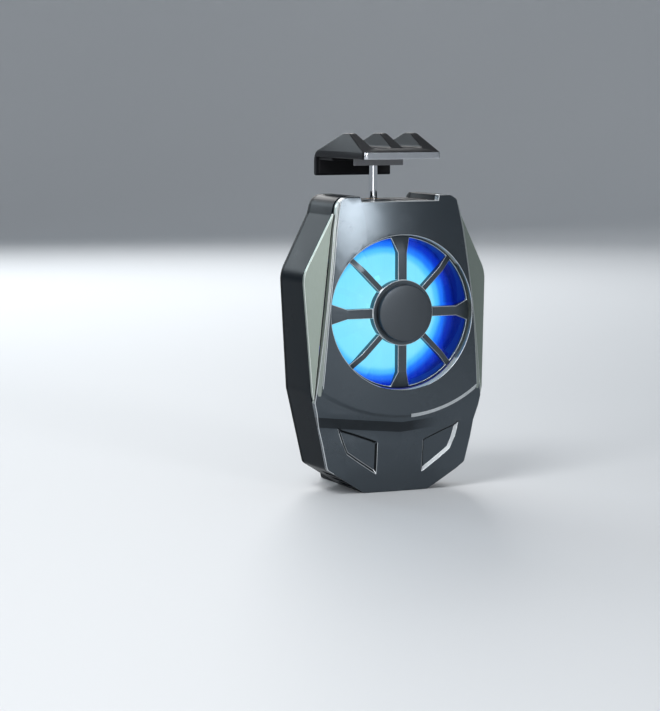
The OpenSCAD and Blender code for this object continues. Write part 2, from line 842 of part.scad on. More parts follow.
// Prism of the USB socket's outline between two distances from the middle
module usb_prism(shrink, from, to) {
    translate([from, board_y, usb_depth])
        rotate([0, 90, 0])
            linear_extrude(to - from)
                usb_section(shrink);
}

module front_cover() {
    color(gunmetal) upright() {
        difference() {
            union() {
                difference() {
                    intersection() {
                        slab(cover_outline, 0, crown_depth + over);
                        front_form();
                    }
                    barrel(part_line);
                }
                intersection() {
                    barrel(lifted(part_line, fuse));
                    difference() {
                        union() {
                            at_case_posts() post(0, 0, post_d, shell_rear, far);
                            at_fan_ears() post(0, 0, ear_d, ear_face, far);
                        }
                        intersection() {
                            on_fan() cylinder(r = duct_r + lie_gap, h = far);
                            barrel(part_line);
                        }
                    }
                }
            }
            on_fan() cylinder(r = fan_r, h = far);
            channel();
            on_both_sides() chin_pocket();
            at_case_posts() post(0, 0, case_screw_d + 2 * seat_fit, 0, case_tip + tip_room);
            at_fan_ears() post(0, 0, small_screw_d + 2 * seat_fit, 0, fan_tip + tip_room);
        }
    }
}

// Recess in the chin, with leaning walls and a floor along the chin's surface
module chin_pocket() {
    mouth = [[pocket_gap, pocket_top_y, 0], [pocket_tip_x, pocket_tip_y, 0],
             [pocket_knee_x, pocket_knee_y, 0], [pocket_gap, pocket_low_y, 0]];
    rim = [for (i = [0, 1, 3]) [mouth[i][0], mouth[i][1], chin_at(mouth[i][0], mouth[i][1])]];
    lean = cross(rim[1] - rim[0], rim[2] - rim[0]);
    function level(c) =
        rim[0][2] - ((c[0] - rim[0][0]) * lean[0] + (c[1] - rim[0][1]) * lean[1]) / lean[2];
    bottom = pocket_depth + over;
    points = concat([for (c = inset(mouth, bottom)) [c[0], c[1], level(c) - bottom]],
                    [for (c = inset(mouth, -2 * over)) [c[0], c[1], level(c) + 2 * over]]);
    difference() {
        polyhedron(points, [[3, 2, 1, 0], [4, 5, 6, 7], [0, 1, 5, 4], [1, 2, 6, 5],
                            [2, 3, 7, 6], [3, 0, 4, 7]]);
        barrel(lifted(chin_line, -pocket_depth));
    }
}

module fan_grille() {
    outer = fan_r - seat_fit;
    spoke_face = grille_depth - spoke_drop;
    ramp_r = fan_r - flare_len;
    ring_face = ledge_depth + grille_ring_t;
    undercut_w = 0.8;
    undercut_r = outer - grille_ring_w - undercut_w;
    color(gunmetal) upright() on_fan() {
        difference() {
            intersection() {
                union() {
                    cylinder(d = grille_hub_d, h = far);
                    for (turn = [0:90:270])
                        rotate([0, 0, turn]) {
                            block([0, -spoke_w / 2, 0], [outer, spoke_w / 2, far]);
                            linear_extrude(far)
                                polygon([[ramp_r, -spoke_w / 2], [outer + over, -flare_w / 2],
                                         [outer + over, flare_w / 2], [ramp_r, spoke_w / 2]]);
                            rotate([0, 0, 45])
                                block([0, -thin_spoke_w / 2, 0], [outer, thin_spoke_w / 2, far]);
                        }
                    difference() {
                        cylinder(r = outer, h = far);
                        translate([0, 0, -over])
                            cylinder(r = outer - grille_ring_w, h = far + 2 * over);
                    }
                }
                rotate_extrude()
                    polygon([[0, grille_rear], [undercut_r, grille_rear],
                             [outer - grille_ring_w, ledge_depth], [outer, ledge_depth],
                             [outer, ring_face], [ramp_r, spoke_face],
                             [grille_hub_d / 2, spoke_face], [grille_hub_d / 2, grille_depth],
                             [0, grille_depth]]);
            }
            translate([0, 0, grille_depth - cap_pin_len - lie_gap])
                cylinder(d = cap_pin_d + 2 * seat_fit, h = far);
        }
    }
}

module hub_cap() {
    cap_r = cap_d / 2;
    dome_r = (cap_r * cap_r + cap_dome * cap_dome) / (2 * cap_dome);
    color(gunmetal) upright() on_fan() translate([0, 0, grille_depth]) {
        intersection() {
            cylinder(r = cap_r, h = cap_h + cap_dome);
            translate([0, 0, cap_h + cap_dome - dome_r]) sphere(r = dome_r, $fn = large_fn);
        }
        translate([0, 0, -cap_pin_len]) cylinder(d = cap_pin_d, h = cap_pin_len);
    }
}

// Kite-shaped panel on the right of the cover
module side_panel() {
    difference() {
        intersection() {
            slab(shell_outline, shell_rear, crown_depth);
            behind_panels(0);
            block([0, cover_hip_y, 0], [far, neck_y + panel_rise, far]);
        }
        behind_panels(panel_t);
        slab(inset(cover_outline, -panel_gap), 0, far);
    }
}

module left_side_panel() {
    color(satin) upright() mirror([1, 0, 0]) side_panel();
}

module right_side_panel() {
    color(satin) upright() side_panel();
}

// Air slots in the channel's floor and in the slanted walls beside the base
module air_slots() {
    slot_w = 1.6;
    slot_pitch = 3.4;
    low_slot_pitch = 2.8;
    slot_gap = 2.5;
    slot_len = 7.5;
    slot_from = bush_block_depth + slot_gap;
    slot_to = slot_from + slot_len;
    slope = atan2(jowl_y, (jowl_w - base_w) / 2);
    for (i = [-2:2])
        block([i * slot_pitch - slot_w / 2, channel_y - channel_floor_t - over, slot_from],
              [i * slot_pitch + slot_w / 2, channel_y + over, slot_to]);
    on_both_sides()
        translate([base_w / 2, 0, 0])
            rotate([0, 0, slope])
                for (i = [1:3])
                    block([i * low_slot_pitch - slot_w / 2, -over, slot_from],
                          [i * low_slot_pitch + slot_w / 2, wall + over, slot_to]);
}

module rear_shell() {
    bed_w = channel_w / 2 + channel_lean + wall / 2;
    jaw_block_w = base_w / 2 - base_r / 2;
    color(navy) upright() {
        difference() {
            intersection() {
                union() {
                    difference() {
                        slab(shell_outline, shell_rear, crown_depth);
                        intersection() {
                            slab(inset(shell_outline, wall), 0, far);
                            union() {
                                behind_panels(panel_t + panel_ledge_t);
                                slab(cover_outline, 0, far);
                            }
                        }
                    }
                    block([-bed_w, channel_y - channel_floor_t, shell_rear],
                          [bed_w, channel_y, crown_depth]);
                    block([-bush_block_w / 2, bush_y, shell_rear],
                          [bush_block_w / 2, channel_y, bush_block_depth]);
                    block([-jaw_block_w, wall / 2, shell_rear],
                          [jaw_block_w, leg_h - lie_gap, shell_rear + jaw_block_t]);
                }
                barrel(part_line);
                behind_panels(panel_t);
            }
            channel();
            rod_room();
            air_slots();
            usb_prism(-lie_gap, usb_end_x, far);
            on_both_sides()
                post(jaw_screw_x, jaw_screw_y, small_screw_d + 2 * seat_fit, 0, jaw_tip + tip_room);
            on_fan() post(0, 0, 2 * (duct_r + lie_gap), frame_depth, far);
        }
    }
}

// Plate of the casing's outline with a chamfered rear edge
module chamfered_plate() {
    outer = rounded(shell_outline);
    inner = rounded(inset(shell_outline, back_chamfer));
    n = len(outer);
    points = concat(
        [for (p = inner) [p[0], p[1], back_face]],
        [for (p = outer) [p[0], p[1], back_face + back_chamfer]],
        [for (p = outer) [p[0], p[1], shell_rear]]
    );
    polyhedron(points, concat(
        [[for (i = [n - 1:-1:0]) i]],
        [[for (i = [0:n - 1]) 2 * n + i]],
        [for (ring = [0, 1]) for (i = [0:n - 1])
            [ring * n + i, ring * n + (i + 1) % n, (ring + 1) * n + (i + 1) % n, (ring + 1) * n + i]]
    ));
}

module back_plate() {
    jaw_room_w = base_w / 2 + lie_gap;
    color(navy) upright() {
        difference() {
            union() {
                chamfered_plate();
                at_sink_screws() post(0, 0, sink_post_d, shell_rear - fuse, sink_depth);
                at_board_screws() post(0, 0, board_post_d, shell_rear - fuse, board_depth);
            }
            cold_block(cold_plate_w + 2 * lie_gap, cold_plate_h + 2 * lie_gap, 0, shell_rear + over);
            block([-jaw_room_w, -over, 0], [jaw_room_w, leg_h + lie_gap, shell_rear + over]);
            channel();
            rod_room();
            at_case_posts() {
                post(0, 0, case_screw_d + hole_slack, 0, shell_rear + over);
                post(0, 0, case_head_d + hole_slack, 0, back_face + head_sink + case_head_h);
            }
            at_sink_screws() post(0, 0, small_screw_d + 2 * seat_fit, shell_rear - tip_room, far);
            at_board_screws() post(0, 0, small_screw_d + 2 * seat_fit, board_tip - fuse, far);
        }
    }
}

// Upright rectangle about the cold plate's middle, between two depths
module cold_block(w, h, from, to) {
    block([-w / 2, cold_y - h / 2, from], [w / 2, cold_y + h / 2, to]);
}

module contact_pad() {
    color("#8f979c") upright() cold_block(cold_plate_w, cold_plate_h, 0, cold_depth);
}

module cold_plate() {
    color(aluminium) upright() cold_block(cold_plate_w, cold_plate_h, cold_depth, peltier_depth);
}

module peltier_cold_ceramic() {
    color(ceramic) upright() cold_block(peltier_w, peltier_w, peltier_depth, legs_depth);
}

module peltier_hot_ceramic() {
    color(ceramic) upright() cold_block(peltier_w, peltier_w, hot_depth, sink_depth);
}

module peltier_legs() {
    first = (leg_pitch - peltier_w - leg_w) / 2;
    color(steel) upright()
        for (i = [0:leg_count - 1])
            for (j = [0:leg_count - 1])
                translate([first + i * leg_pitch, cold_y + first + j * leg_pitch, legs_depth])
                    cube([leg_w, leg_w, leg_len]);
}

// Straight leads from the Peltier module to the rear of the control board
module lead_runs(d) {
    edge = (peltier_w - leg_pitch + leg_w) / 2;
    for (y = lead_rows)
        translate([edge, y, board_depth - lead_d / 2 - seat_fit])
            rotate([0, 90, 0])
                cylinder(d = d, h = board_mid_x - edge);
}

module peltier_leads() {
    color("#8a1f1f") upright() lead_runs(lead_d);
}

module insulation_frame() {
    color("#4b4d50") upright()
        difference() {
            cold_block(cold_plate_w, cold_plate_h, peltier_depth, sink_depth);
            cold_block(peltier_w + 2 * seat_fit, peltier_w + 2 * seat_fit, 0, far);
            lead_runs(lead_d + 2 * seat_fit);
        }
}

module heat_sink() {
    pitch = (sink_w - fin_t) / (fin_count - 1);
    color(aluminium) upright()
        difference() {
            union() {
                block([-sink_w / 2, sink_low_y, sink_depth], [sink_w / 2, sink_high_y, fin_depth]);
                for (i = [0:fin_count - 1])
                    translate([-sink_w / 2 + i * pitch, sink_low_y, sink_depth])
                        cube([fin_t, sink_high_y - sink_low_y, fin_top - sink_depth]);
            }
            at_sink_screws() {
                post(0, 0, small_screw_d + hole_slack, 0, far);
                post(0, 0, small_head_d + 2 * hole_slack, fin_depth, far);
            }
            usb_prism(-lie_gap, usb_end_x - lie_gap, far);
        }
}

module fan_frame() {
    color("#10203a") upright()
        difference() {
            intersection() {
                on_fan() {
                    difference() {
                        union() {
                            post(0, 0, 2 * duct_r, frame_depth, far);
                            frame_ears();
                        }
                        post(0, 0, 2 * fan_r, 0, far);
                    }
                    difference() {
                        post(0, 0, 2 * (fan_r + fuse), ledge_depth - grille_ledge_t, ledge_depth);
                        post(0, 0, 2 * ledge_r, 0, far);
                    }
                    post(0, 0, motor_base_d, frame_depth, frame_face);
                    post(0, 0, 2 * tube_r, frame_depth, tube_face);
                    for (turn = [0:90:270])
                        rotate([0, 0, turn])
                            block([0, -strut_w / 2, frame_depth], [fan_r + fuse, strut_w / 2, frame_face]);
                }
                barrel(lifted(part_line, -seat_fit));
            }
            on_fan() post(0, 0, 2 * sleeve_r, tube_floor, far);
            at_fan_ears() post(0, 0, small_screw_d + hole_slack, 0, far);
            fan_lead_run(fan_lead_d + hole_slack);
        }
}

// Ears that join the fan's duct to its screws
module frame_ears() {
    for (turn = [45:90:315])
        rotate([0, 0, turn]) {
            post(ear_r, 0, ear_d, ear_depth, ear_face);
            block([fan_r, -ear_d / 2, ear_depth], [ear_r, ear_d / 2, ear_face]);
        }
}

module bearing_sleeve() {
    color(copper) upright() on_fan()
        difference() {
            post(0, 0, 2 * (sleeve_r - seat_fit), sleeve_depth, tube_face);
            post(0, 0, 2 * sleeve_bore, 0, far);
        }
}

module stator_core() {
    shoe_w = 3.8;
    color(steel) upright() on_fan()
        intersection() {
            difference() {
                union() {
                    post(0, 0, 2 * (tube_r + core_t), stator_depth, stator_face);
                    for (turn = [45:90:315])
                        rotate([0, 0, turn]) {
                            block([0, -arm_w / 2, stator_depth], [stator_r, arm_w / 2, stator_face]);
                            block([stator_r - shoe_t, -shoe_w / 2, stator_depth],
                                  [stator_r, shoe_w / 2, stator_face]);
                        }
                }
                post(0, 0, 2 * (tube_r + seat_fit), 0, far);
            }
            post(0, 0, 2 * stator_r, 0, far);
        }
}

module stator_windings() {
    from = tube_r + core_t + lie_gap;
    to = stator_r - shoe_t - lie_gap;
    color(copper) upright() on_fan()
        for (turn = [45:90:315])
            rotate([0, 0, turn])
                difference() {
                    block([from, -arm_w / 2 - winding_t - lie_gap, stator_depth - winding_t],
                          [to, arm_w / 2 + winding_t + lie_gap, stator_face + winding_t]);
                    block([0, -arm_w / 2 - seat_fit, stator_depth - seat_fit],
                          [far, arm_w / 2 + seat_fit, stator_face + seat_fit]);
                }
}

module motor_board() {
    color(board_green) upright() on_fan()
        difference() {
            post(0, 0, motor_base_d, frame_face, motor_board_face);
            post(0, 0, 2 * (tube_r + seat_fit), 0, far);
        }
}

module led_chips() {
    chip_w = 1.2;
    chip_t = 0.4;
    ring_r = (motor_base_d - chip_w) / 2 - pass_gap;
    color("#e6f7ff") upright() on_fan()
        for (i = [0:led_count - 1])
            rotate([0, 0, (i + 0.5) * 360 / led_count])
                translate([ring_r - chip_w / 2, -chip_w / 2, motor_board_face])
                    cube([chip_w, chip_w, chip_t]);
}

// Lead from the motor board along a strut, through the duct and down to the control board
module fan_lead_run(d) {
    start = motor_base_d / 2 + seat_fit;
    depth = frame_face + fan_lead_d / 2 + seat_fit;
    translate([start, fan_y, depth])
        rotate([0, 90, 0])
            cylinder(d = d, h = fan_lead_x - start);
    translate([fan_lead_x, fan_y, depth]) sphere(d = d);
    post(fan_lead_x, fan_y, d, board_face, depth);
}

module fan_lead() {
    color("#2a2a2c") upright() fan_lead_run(fan_lead_d);
}

module control_board() {
    color(board_green) upright()
        difference() {
            block([board_x, board_low_y, board_depth], [board_edge, board_high_y, board_face]);
            at_board_screws() post(0, 0, small_screw_d + hole_slack, 0, far);
        }
}

// Chips on both sides of the USB socket, the outer ones taller
module board_components() {
    outer_x = fan_lead_x - fan_lead_d / 2 - hole_slack;
    color("#222326") upright()
        for (side = [-1, 1])
            for (i = [0, 1]) {
                near = usb_w / 2 + component_gap + i * (component_len + component_gap);
                low_y = board_y + (side > 0 ? near : -near - component_len);
                block([board_x + lie_gap, low_y, board_face],
                      [outer_x, low_y + component_len, board_face + component_h + i * component_step]);
            }
}

module usb_shell() {
    color(steel) upright()
        difference() {
            usb_prism(0, usb_end_x, usb_mouth);
            usb_prism(usb_sheet, usb_end_x + usb_end, far);
        }
}

module usb_tongue() {
    color("#26272a") upright()
        block([usb_end_x + usb_end, board_y - tongue_w / 2, usb_depth - tongue_t / 2],
              [usb_mouth - 1, board_y + tongue_w / 2, usb_depth + tongue_t / 2]);
}

// Ring along the rod's axis between two heights
module rod_ring(outer_d, bore_d, from, to) {
    translate([0, from, rod_depth])
        rotate([-90, 0, 0])
            difference() {
                cylinder(d = outer_d, h = to - from);
                translate([0, 0, -over]) cylinder(d = bore_d, h = to - from + 2 * over);
            }
}

module rod_bush() {
    color(copper) upright() rod_ring(bush_d, rod_d + 2 * run_fit, bush_y, channel_y);
}

module rod_collar() {
    color(steel) upright() rod_ring(collar_d, rod_d + 2 * seat_fit, rod_low_y, collar_top);
}

module clamp_rod() {
    color(chrome) upright()
        translate([0, rod_low_y, rod_depth])
            rotate([-90, 0, 0])
                cylinder(d = rod_d, h = jaw_y + rod_grip - rod_low_y);
}

// Coil spring about the rod, from the collar to the bush
module clamp_spring() {
    curl_rings = 8;
    sides = 6;
    wire_r = spring_wire / 2;
    rings = spring_turns * curl_rings;
    low = collar_top + wire_r + 0.02;
    high = bush_y - wire_r - 0.02;
    points = [for (i = [0:rings]) for (j = [0:sides - 1])
        let (turn = 360 * i / curl_rings, round = 360 * j / sides,
             r = spring_r + wire_r * cos(round))
        [r * cos(turn), low + (high - low) * i / rings + wire_r * sin(round),
         rod_depth + r * sin(turn)]];
    walls = [for (i = [0:rings - 1]) for (j = [0:sides - 1])
        let (a = i * sides + j, b = i * sides + (j + 1) % sides, c = b + sides, d = a + sides)
        each [[a, b, c], [a, c, d]]];
    ends = concat([[for (j = [sides - 1:-1:0]) j]], [[for (j = [0:sides - 1]) rings * sides + j]]);
    color(steel) upright() polyhedron(points, concat(walls, ends));
}

module lower_jaw() {
    lip_y = grip_low_y + lip_reach;
    color(charcoal) upright()
        difference() {
            across(base_w)
                polygon(rounded([[rear_depth, 0, 1.2], [rear_depth, lip_y, 0.7],
                                 [lip_depth, lip_y, 0], [lip_depth, shelf_t, 0],
                                 [back_face, shelf_t, 0], [back_face, leg_h, 0.6],
                                 [shell_rear, leg_h, 0], [shell_rear, 0, 0]]));
            on_both_sides() {
                post(jaw_screw_x, jaw_screw_y, small_screw_d + hole_slack, 0, far);
                post(jaw_screw_x, jaw_screw_y, small_head_d + hole_slack, 0,
                     back_face + head_sink + small_head_h);
            }
        }
}

// Angle-shaped grip pad: along a jaw's seat and up its lip
module grip_pad(width, seat_y, grip_y, lip_end) {
    color(rubber) upright()
        across(width)
            polygon([[lip_depth, seat_y], [pad_front, seat_y], [pad_front, grip_y],
                     [lip_pad_depth, grip_y], [lip_pad_depth, lip_end], [lip_depth, lip_end]]);
}

module lower_jaw_pad() {
    grip_pad(base_w - 2 * pad_edge, shelf_t, grip_low_y, grip_low_y + lip_reach - pad_edge);
}

module upper_jaw_pad() {
    grip_pad(jaw_w - 2 * pad_edge, jaw_y, grip_high_y, grip_high_y - lip_reach + pad_edge);
}

// Space that the upper jaw and its band share: rounded in front, with sides that lean in
module jaw_space() {
    half = jaw_w / 2;
    band_front = jaw_front + band_t;
    low_y = grip_high_y - lip_reach;
    intersection() {
        plan([[-half, rear_depth, 0], [half, rear_depth, 0], [half, band_front, jaw_corner_r],
              [-half, band_front, jaw_corner_r]], low_y, crest_y);
        slab([[-half, low_y, 0], [half, low_y, 0], [half, jaw_y + band_h, 0],
              [half - jaw_lean, crest_y, 0], [jaw_lean - half, crest_y, 0],
              [-half, jaw_y + band_h, 0]], rear_depth, band_front);
    }
}

module upper_jaw() {
    lip_y = grip_high_y - lip_reach;
    groove_half = groove_w / 2;
    groove_lean = (ridge_pitch - ridge_top - groove_w) / 2;
    ridge_foot_r = 0.8;
    color(charcoal) upright()
        difference() {
            intersection() {
                jaw_space();
                across(jaw_w)
                    polygon(rounded([[rear_depth, lip_y, 0.6], [rear_depth, jaw_y + jaw_rear_h, 3],
                                     [crest_rear, crest_y, 7], [crest_front, crest_y, 4],
                                     [jaw_front, jaw_y + band_h, 0], [jaw_front, jaw_y, 0],
                                     [lip_depth, jaw_y, 0], [lip_depth, lip_y, 0.4]]));
            }
            on_both_sides()
                translate([ridge_pitch / 2, crest_y - groove_depth, 0])
                    slab([[-groove_half, 0, ridge_foot_r], [groove_half, 0, ridge_foot_r],
                          [groove_half + 2 * groove_lean, 2 * groove_depth, 0],
                          [-groove_half - 2 * groove_lean, 2 * groove_depth, 0]], -far / 2, far / 2);
            rod_ring_room();
            on_both_sides() foot_screw(2 * seat_fit, tip_room);
        }
}

// Bore in the jaw and the foot plate for the rod
module rod_ring_room() {
    translate([0, foot_y - over, rod_depth])
        rotate([-90, 0, 0])
            cylinder(d = rod_d + 2 * seat_fit, h = foot_t + over + rod_grip);
}

// Upright screw through the right half of the foot plate, or the room for it when made larger
module foot_screw(slack, room) {
    translate([foot_screw_x, foot_y + head_sink, foot_screw_depth])
        rotate([-90, 0, 0]) {
            translate([0, 0, -room]) cylinder(d = small_head_d + slack, h = small_head_h + room);
            cylinder(d = small_screw_d + slack, h = small_head_h + foot_screw_len + room);
        }
}

module jaw_band() {
    color(chrome) upright()
        intersection() {
            jaw_space();
            block([-jaw_w / 2, jaw_y, jaw_front], [jaw_w / 2, jaw_y + band_h, jaw_front + band_t]);
        }
}

module jaw_foot() {
    color("#5e5f62") upright()
        difference() {
            plan(both_sides([[foot_rear_w / 2, foot_rear, 0], [foot_w / 2, foot_front - foot_lip, 0],
                             [foot_w / 2, foot_front, 0]]), foot_y, jaw_y);
            rod_ring_room();
            on_both_sides() foot_screw(hole_slack, tip_room);
        }
}

module jaw_screws() {
    color(steel) upright() on_both_sides() foot_screw(0, 0);
}

module case_screws() {
    color(steel) upright()
        at_case_posts()
            screw(0, 0, case_screw_d, case_head_d, case_head_h, case_screw_len, back_face + head_sink);
}

module lower_jaw_screws() {
    color(steel) upright()
        on_both_sides()
            screw(jaw_screw_x, jaw_screw_y, small_screw_d, small_head_d, small_head_h,
                  jaw_screw_len, back_face + head_sink);
}

module heat_sink_screws() {
    color(steel) upright()
        at_sink_screws()
            translate([0, 0, fin_depth])
                mirror([0, 0, 1])
                    screw(0, 0, small_screw_d, small_head_d, small_head_h,
                          fin_depth - shell_rear, -small_head_h);
}

module fan_screws() {
    color(steel) upright()
        at_fan_ears()
            screw(0, 0, small_screw_d, small_head_d, small_head_h, fan_screw_len,
                  ear_depth - small_head_h);
}

module board_screws() {
    color(steel) upright()
        at_board_screws()
            translate([0, 0, board_face])
                mirror([0, 0, 1])
                    screw(0, 0, small_screw_d, small_head_d, small_head_h,
                          board_face - board_tip, -small_head_h);
}

module impeller() {
    root_r = hub_r - hub_wall / 2;
    color("#bfefff") upright() on_fan() {
        difference() {
            union() {
                difference() {
                    post(0, 0, 2 * hub_r, hub_depth, hub_face);
                    post(0, 0, 2 * (yoke_r + seat_fit), 0, yoke_face);
                }
                post(0, 0, boss_d, boss_face, yoke_face + fuse);
            }
            post(0, 0, shaft_d + 2 * seat_fit, 0, shaft_face + lie_gap);
        }
        translate([0, 0, blade_depth])
            linear_extrude(blade_h, twist = -blade_turn, slices = 8, segments = 1)
                for (i = [0:blade_count - 1])
                    rotate([0, 0, i * 360 / blade_count])
                        polygon([[root_r, -blade_t / 2], [tip_r, -blade_t * 0.8],
                                 [tip_r, blade_t * 0.8], [root_r, blade_t / 2]]);
    }
}

module rotor_yoke() {
    color(steel) upright() on_fan()
        difference() {
            post(0, 0, 2 * yoke_r, hub_depth + rotor_step, yoke_face);
            post(0, 0, 2 * magnet_r, 0, yoke_face - yoke_t);
            post(0, 0, boss_d + 2 * seat_fit, 0, far);
        }
}

module rotor_magnet() {
    color("#3b3d41") upright() on_fan()
        difference() {
            post(0, 0, 2 * (magnet_r - seat_fit), hub_depth + 2 * rotor_step, yoke_face - yoke_t);
            post(0, 0, 2 * (magnet_r - magnet_t), 0, far);
        }
}

module fan_shaft() {
    color(chrome) upright() on_fan() post(0, 0, shaft_d, shaft_depth, shaft_face);
}

module shaft_clip() {
    color(steel) upright() on_fan()
        difference() {
            post(0, 0, 2 * (sleeve_r - pass_gap), clip_depth, clip_depth + clip_t);
            post(0, 0, shaft_d + 2 * seat_fit, 0, far);
        }
}

front_cover();
fan_grille();
hub_cap();
left_side_panel();
right_side_panel();
rear_shell();
back_plate();
contact_pad();
cold_plate();
peltier_cold_ceramic();
peltier_hot_ceramic();
peltier_legs();
peltier_leads();
insulation_frame();
heat_sink();
fan_frame();
bearing_sleeve();
stator_core();
stator_windings();
motor_board();
led_chips();
fan_lead();
control_board();
board_components();
usb_shell();
usb_tongue();
rod_bush();
clamp_spring();
lower_jaw();
lower_jaw_pad();
case_screws();
heat_sink_screws();
fan_screws();
board_screws();
lower_jaw_screws();
upper_jaw();
jaw_band();
upper_jaw_pad();
jaw_foot();
clamp_rod();
rod_collar();
jaw_screws();
impeller();
rotor_yoke();
rotor_magnet();
fan_shaft();
shaft_clip();
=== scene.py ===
"""Dresses the solids of a clip-on phone cooler and sets up the studio that shows it."""

from __future__ import annotations

import logging
import math
from collections.abc import Callable, Iterator, Sequence
from contextlib import contextmanager
from dataclasses import dataclass, field
from enum import Enum, IntEnum
from typing import Any

import bpy
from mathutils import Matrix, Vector

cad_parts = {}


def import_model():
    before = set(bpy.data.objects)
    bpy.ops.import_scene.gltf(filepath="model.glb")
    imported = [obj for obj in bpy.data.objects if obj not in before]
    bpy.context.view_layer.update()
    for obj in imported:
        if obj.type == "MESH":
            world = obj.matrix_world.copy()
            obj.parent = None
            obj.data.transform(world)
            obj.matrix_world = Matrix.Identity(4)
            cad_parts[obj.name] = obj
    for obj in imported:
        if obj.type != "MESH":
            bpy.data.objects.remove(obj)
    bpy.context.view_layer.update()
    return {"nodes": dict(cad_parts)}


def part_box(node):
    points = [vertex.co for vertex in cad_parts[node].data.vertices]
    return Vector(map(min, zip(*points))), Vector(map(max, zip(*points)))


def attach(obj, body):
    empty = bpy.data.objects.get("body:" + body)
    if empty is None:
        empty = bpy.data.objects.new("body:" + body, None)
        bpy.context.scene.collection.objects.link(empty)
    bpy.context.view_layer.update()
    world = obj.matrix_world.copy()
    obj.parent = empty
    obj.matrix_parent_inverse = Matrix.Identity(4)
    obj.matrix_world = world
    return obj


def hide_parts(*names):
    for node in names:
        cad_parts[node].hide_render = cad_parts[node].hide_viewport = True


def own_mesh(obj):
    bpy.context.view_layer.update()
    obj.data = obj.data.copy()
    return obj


LOG = logging.getLogger("cooler")
MM = 0.001
HAIR = 0.01 * MM  # slack for picking faces and edges
Colour = tuple[float, float, float, float]
Point = tuple[float, float, float]
Face = bpy.types.MeshPolygon


def tone(code: str) -> Colour:
    """Turns a web colour into the linear colour that shaders take.

    Args:
        code: six hex digits after a number sign.

    Returns:
        Red, green, blue and a full alpha.
    """
    parts = [int(code[i:i + 2], 16) / 255 for i in (1, 3, 5)]
    linear = [c / 12.92 if c <= 0.04045 else ((c + 0.055) / 1.055) ** 2.4 for c in parts]
    return (linear[0], linear[1], linear[2], 1.0)


def shade(colour: Colour, factor: float) -> Colour:
    """Makes a colour darker or lighter by a factor."""
    return (colour[0] * factor, colour[1] * factor, colour[2] * factor, 1.0)


class Body(Enum):
    """The moving groups of the cooler."""

    CASING = "casing"
    JAW = "jaw"
    ROTOR = "rotor"


class Zone(IntEnum):
    """Places of the finishes on the cover, among them painted highlight and painted shade."""

    PLAIN = 0
    # bevels and walls with a painted highlight
    EDGE = 1
    TRIM = 2
    # the opening's wall, with a painted highlight
    OPENING = 3
    RECESS = 4


class Expr:
    """A shader value that takes part in Python arithmetic by adding Math nodes."""

    def __init__(self, graph: Graph, socket: bpy.types.NodeSocket) -> None:
        """Wraps one output socket of a graph."""
        self.graph = graph
        self.socket = socket

    def _join(self, operation: str, first: Term, second: Term = 0.0) -> Expr:
        """Adds a Math node.

        Args:
            operation: the node's operation.
            first: its first value.
            second: its second value.

        Returns:
            The node's result.
        """
        made = self.graph.node("ShaderNodeMath", {"operation": operation}, {0: first, 1: second})
        return Expr(self.graph, made.outputs[0])

    def __add__(self, other: Term) -> Expr:
        """Sum."""
        return self._join("ADD", self, other)

    def __radd__(self, other: Term) -> Expr:
        """Sum, reflected."""
        return self._join("ADD", other, self)

    def __sub__(self, other: Term) -> Expr:
        """Difference."""
        return self._join("SUBTRACT", self, other)

    def __rsub__(self, other: Term) -> Expr:
        """Difference, reflected."""
        return self._join("SUBTRACT", other, self)

    def __mul__(self, other: Term) -> Expr:
        """Product."""
        return self._join("MULTIPLY", self, other)

    def __rmul__(self, other: Term) -> Expr:
        """Product, reflected."""
        return self._join("MULTIPLY", other, self)

    def __truediv__(self, other: Term) -> Expr:
        """Quotient."""
        return self._join("DIVIDE", self, other)

    def __rtruediv__(self, other: Term) -> Expr:
        """Quotient, reflected."""
        return self._join("DIVIDE", other, self)

    def __pow__(self, other: Term) -> Expr:
        """Power."""
        return self._join("POWER", self, other)

    def clamped(self) -> Expr:
        """Limits the value to the range from 0 to 1."""
        return self._join("MINIMUM", self._join("MAXIMUM", self, 0.0), 1.0)


Term = Expr | float


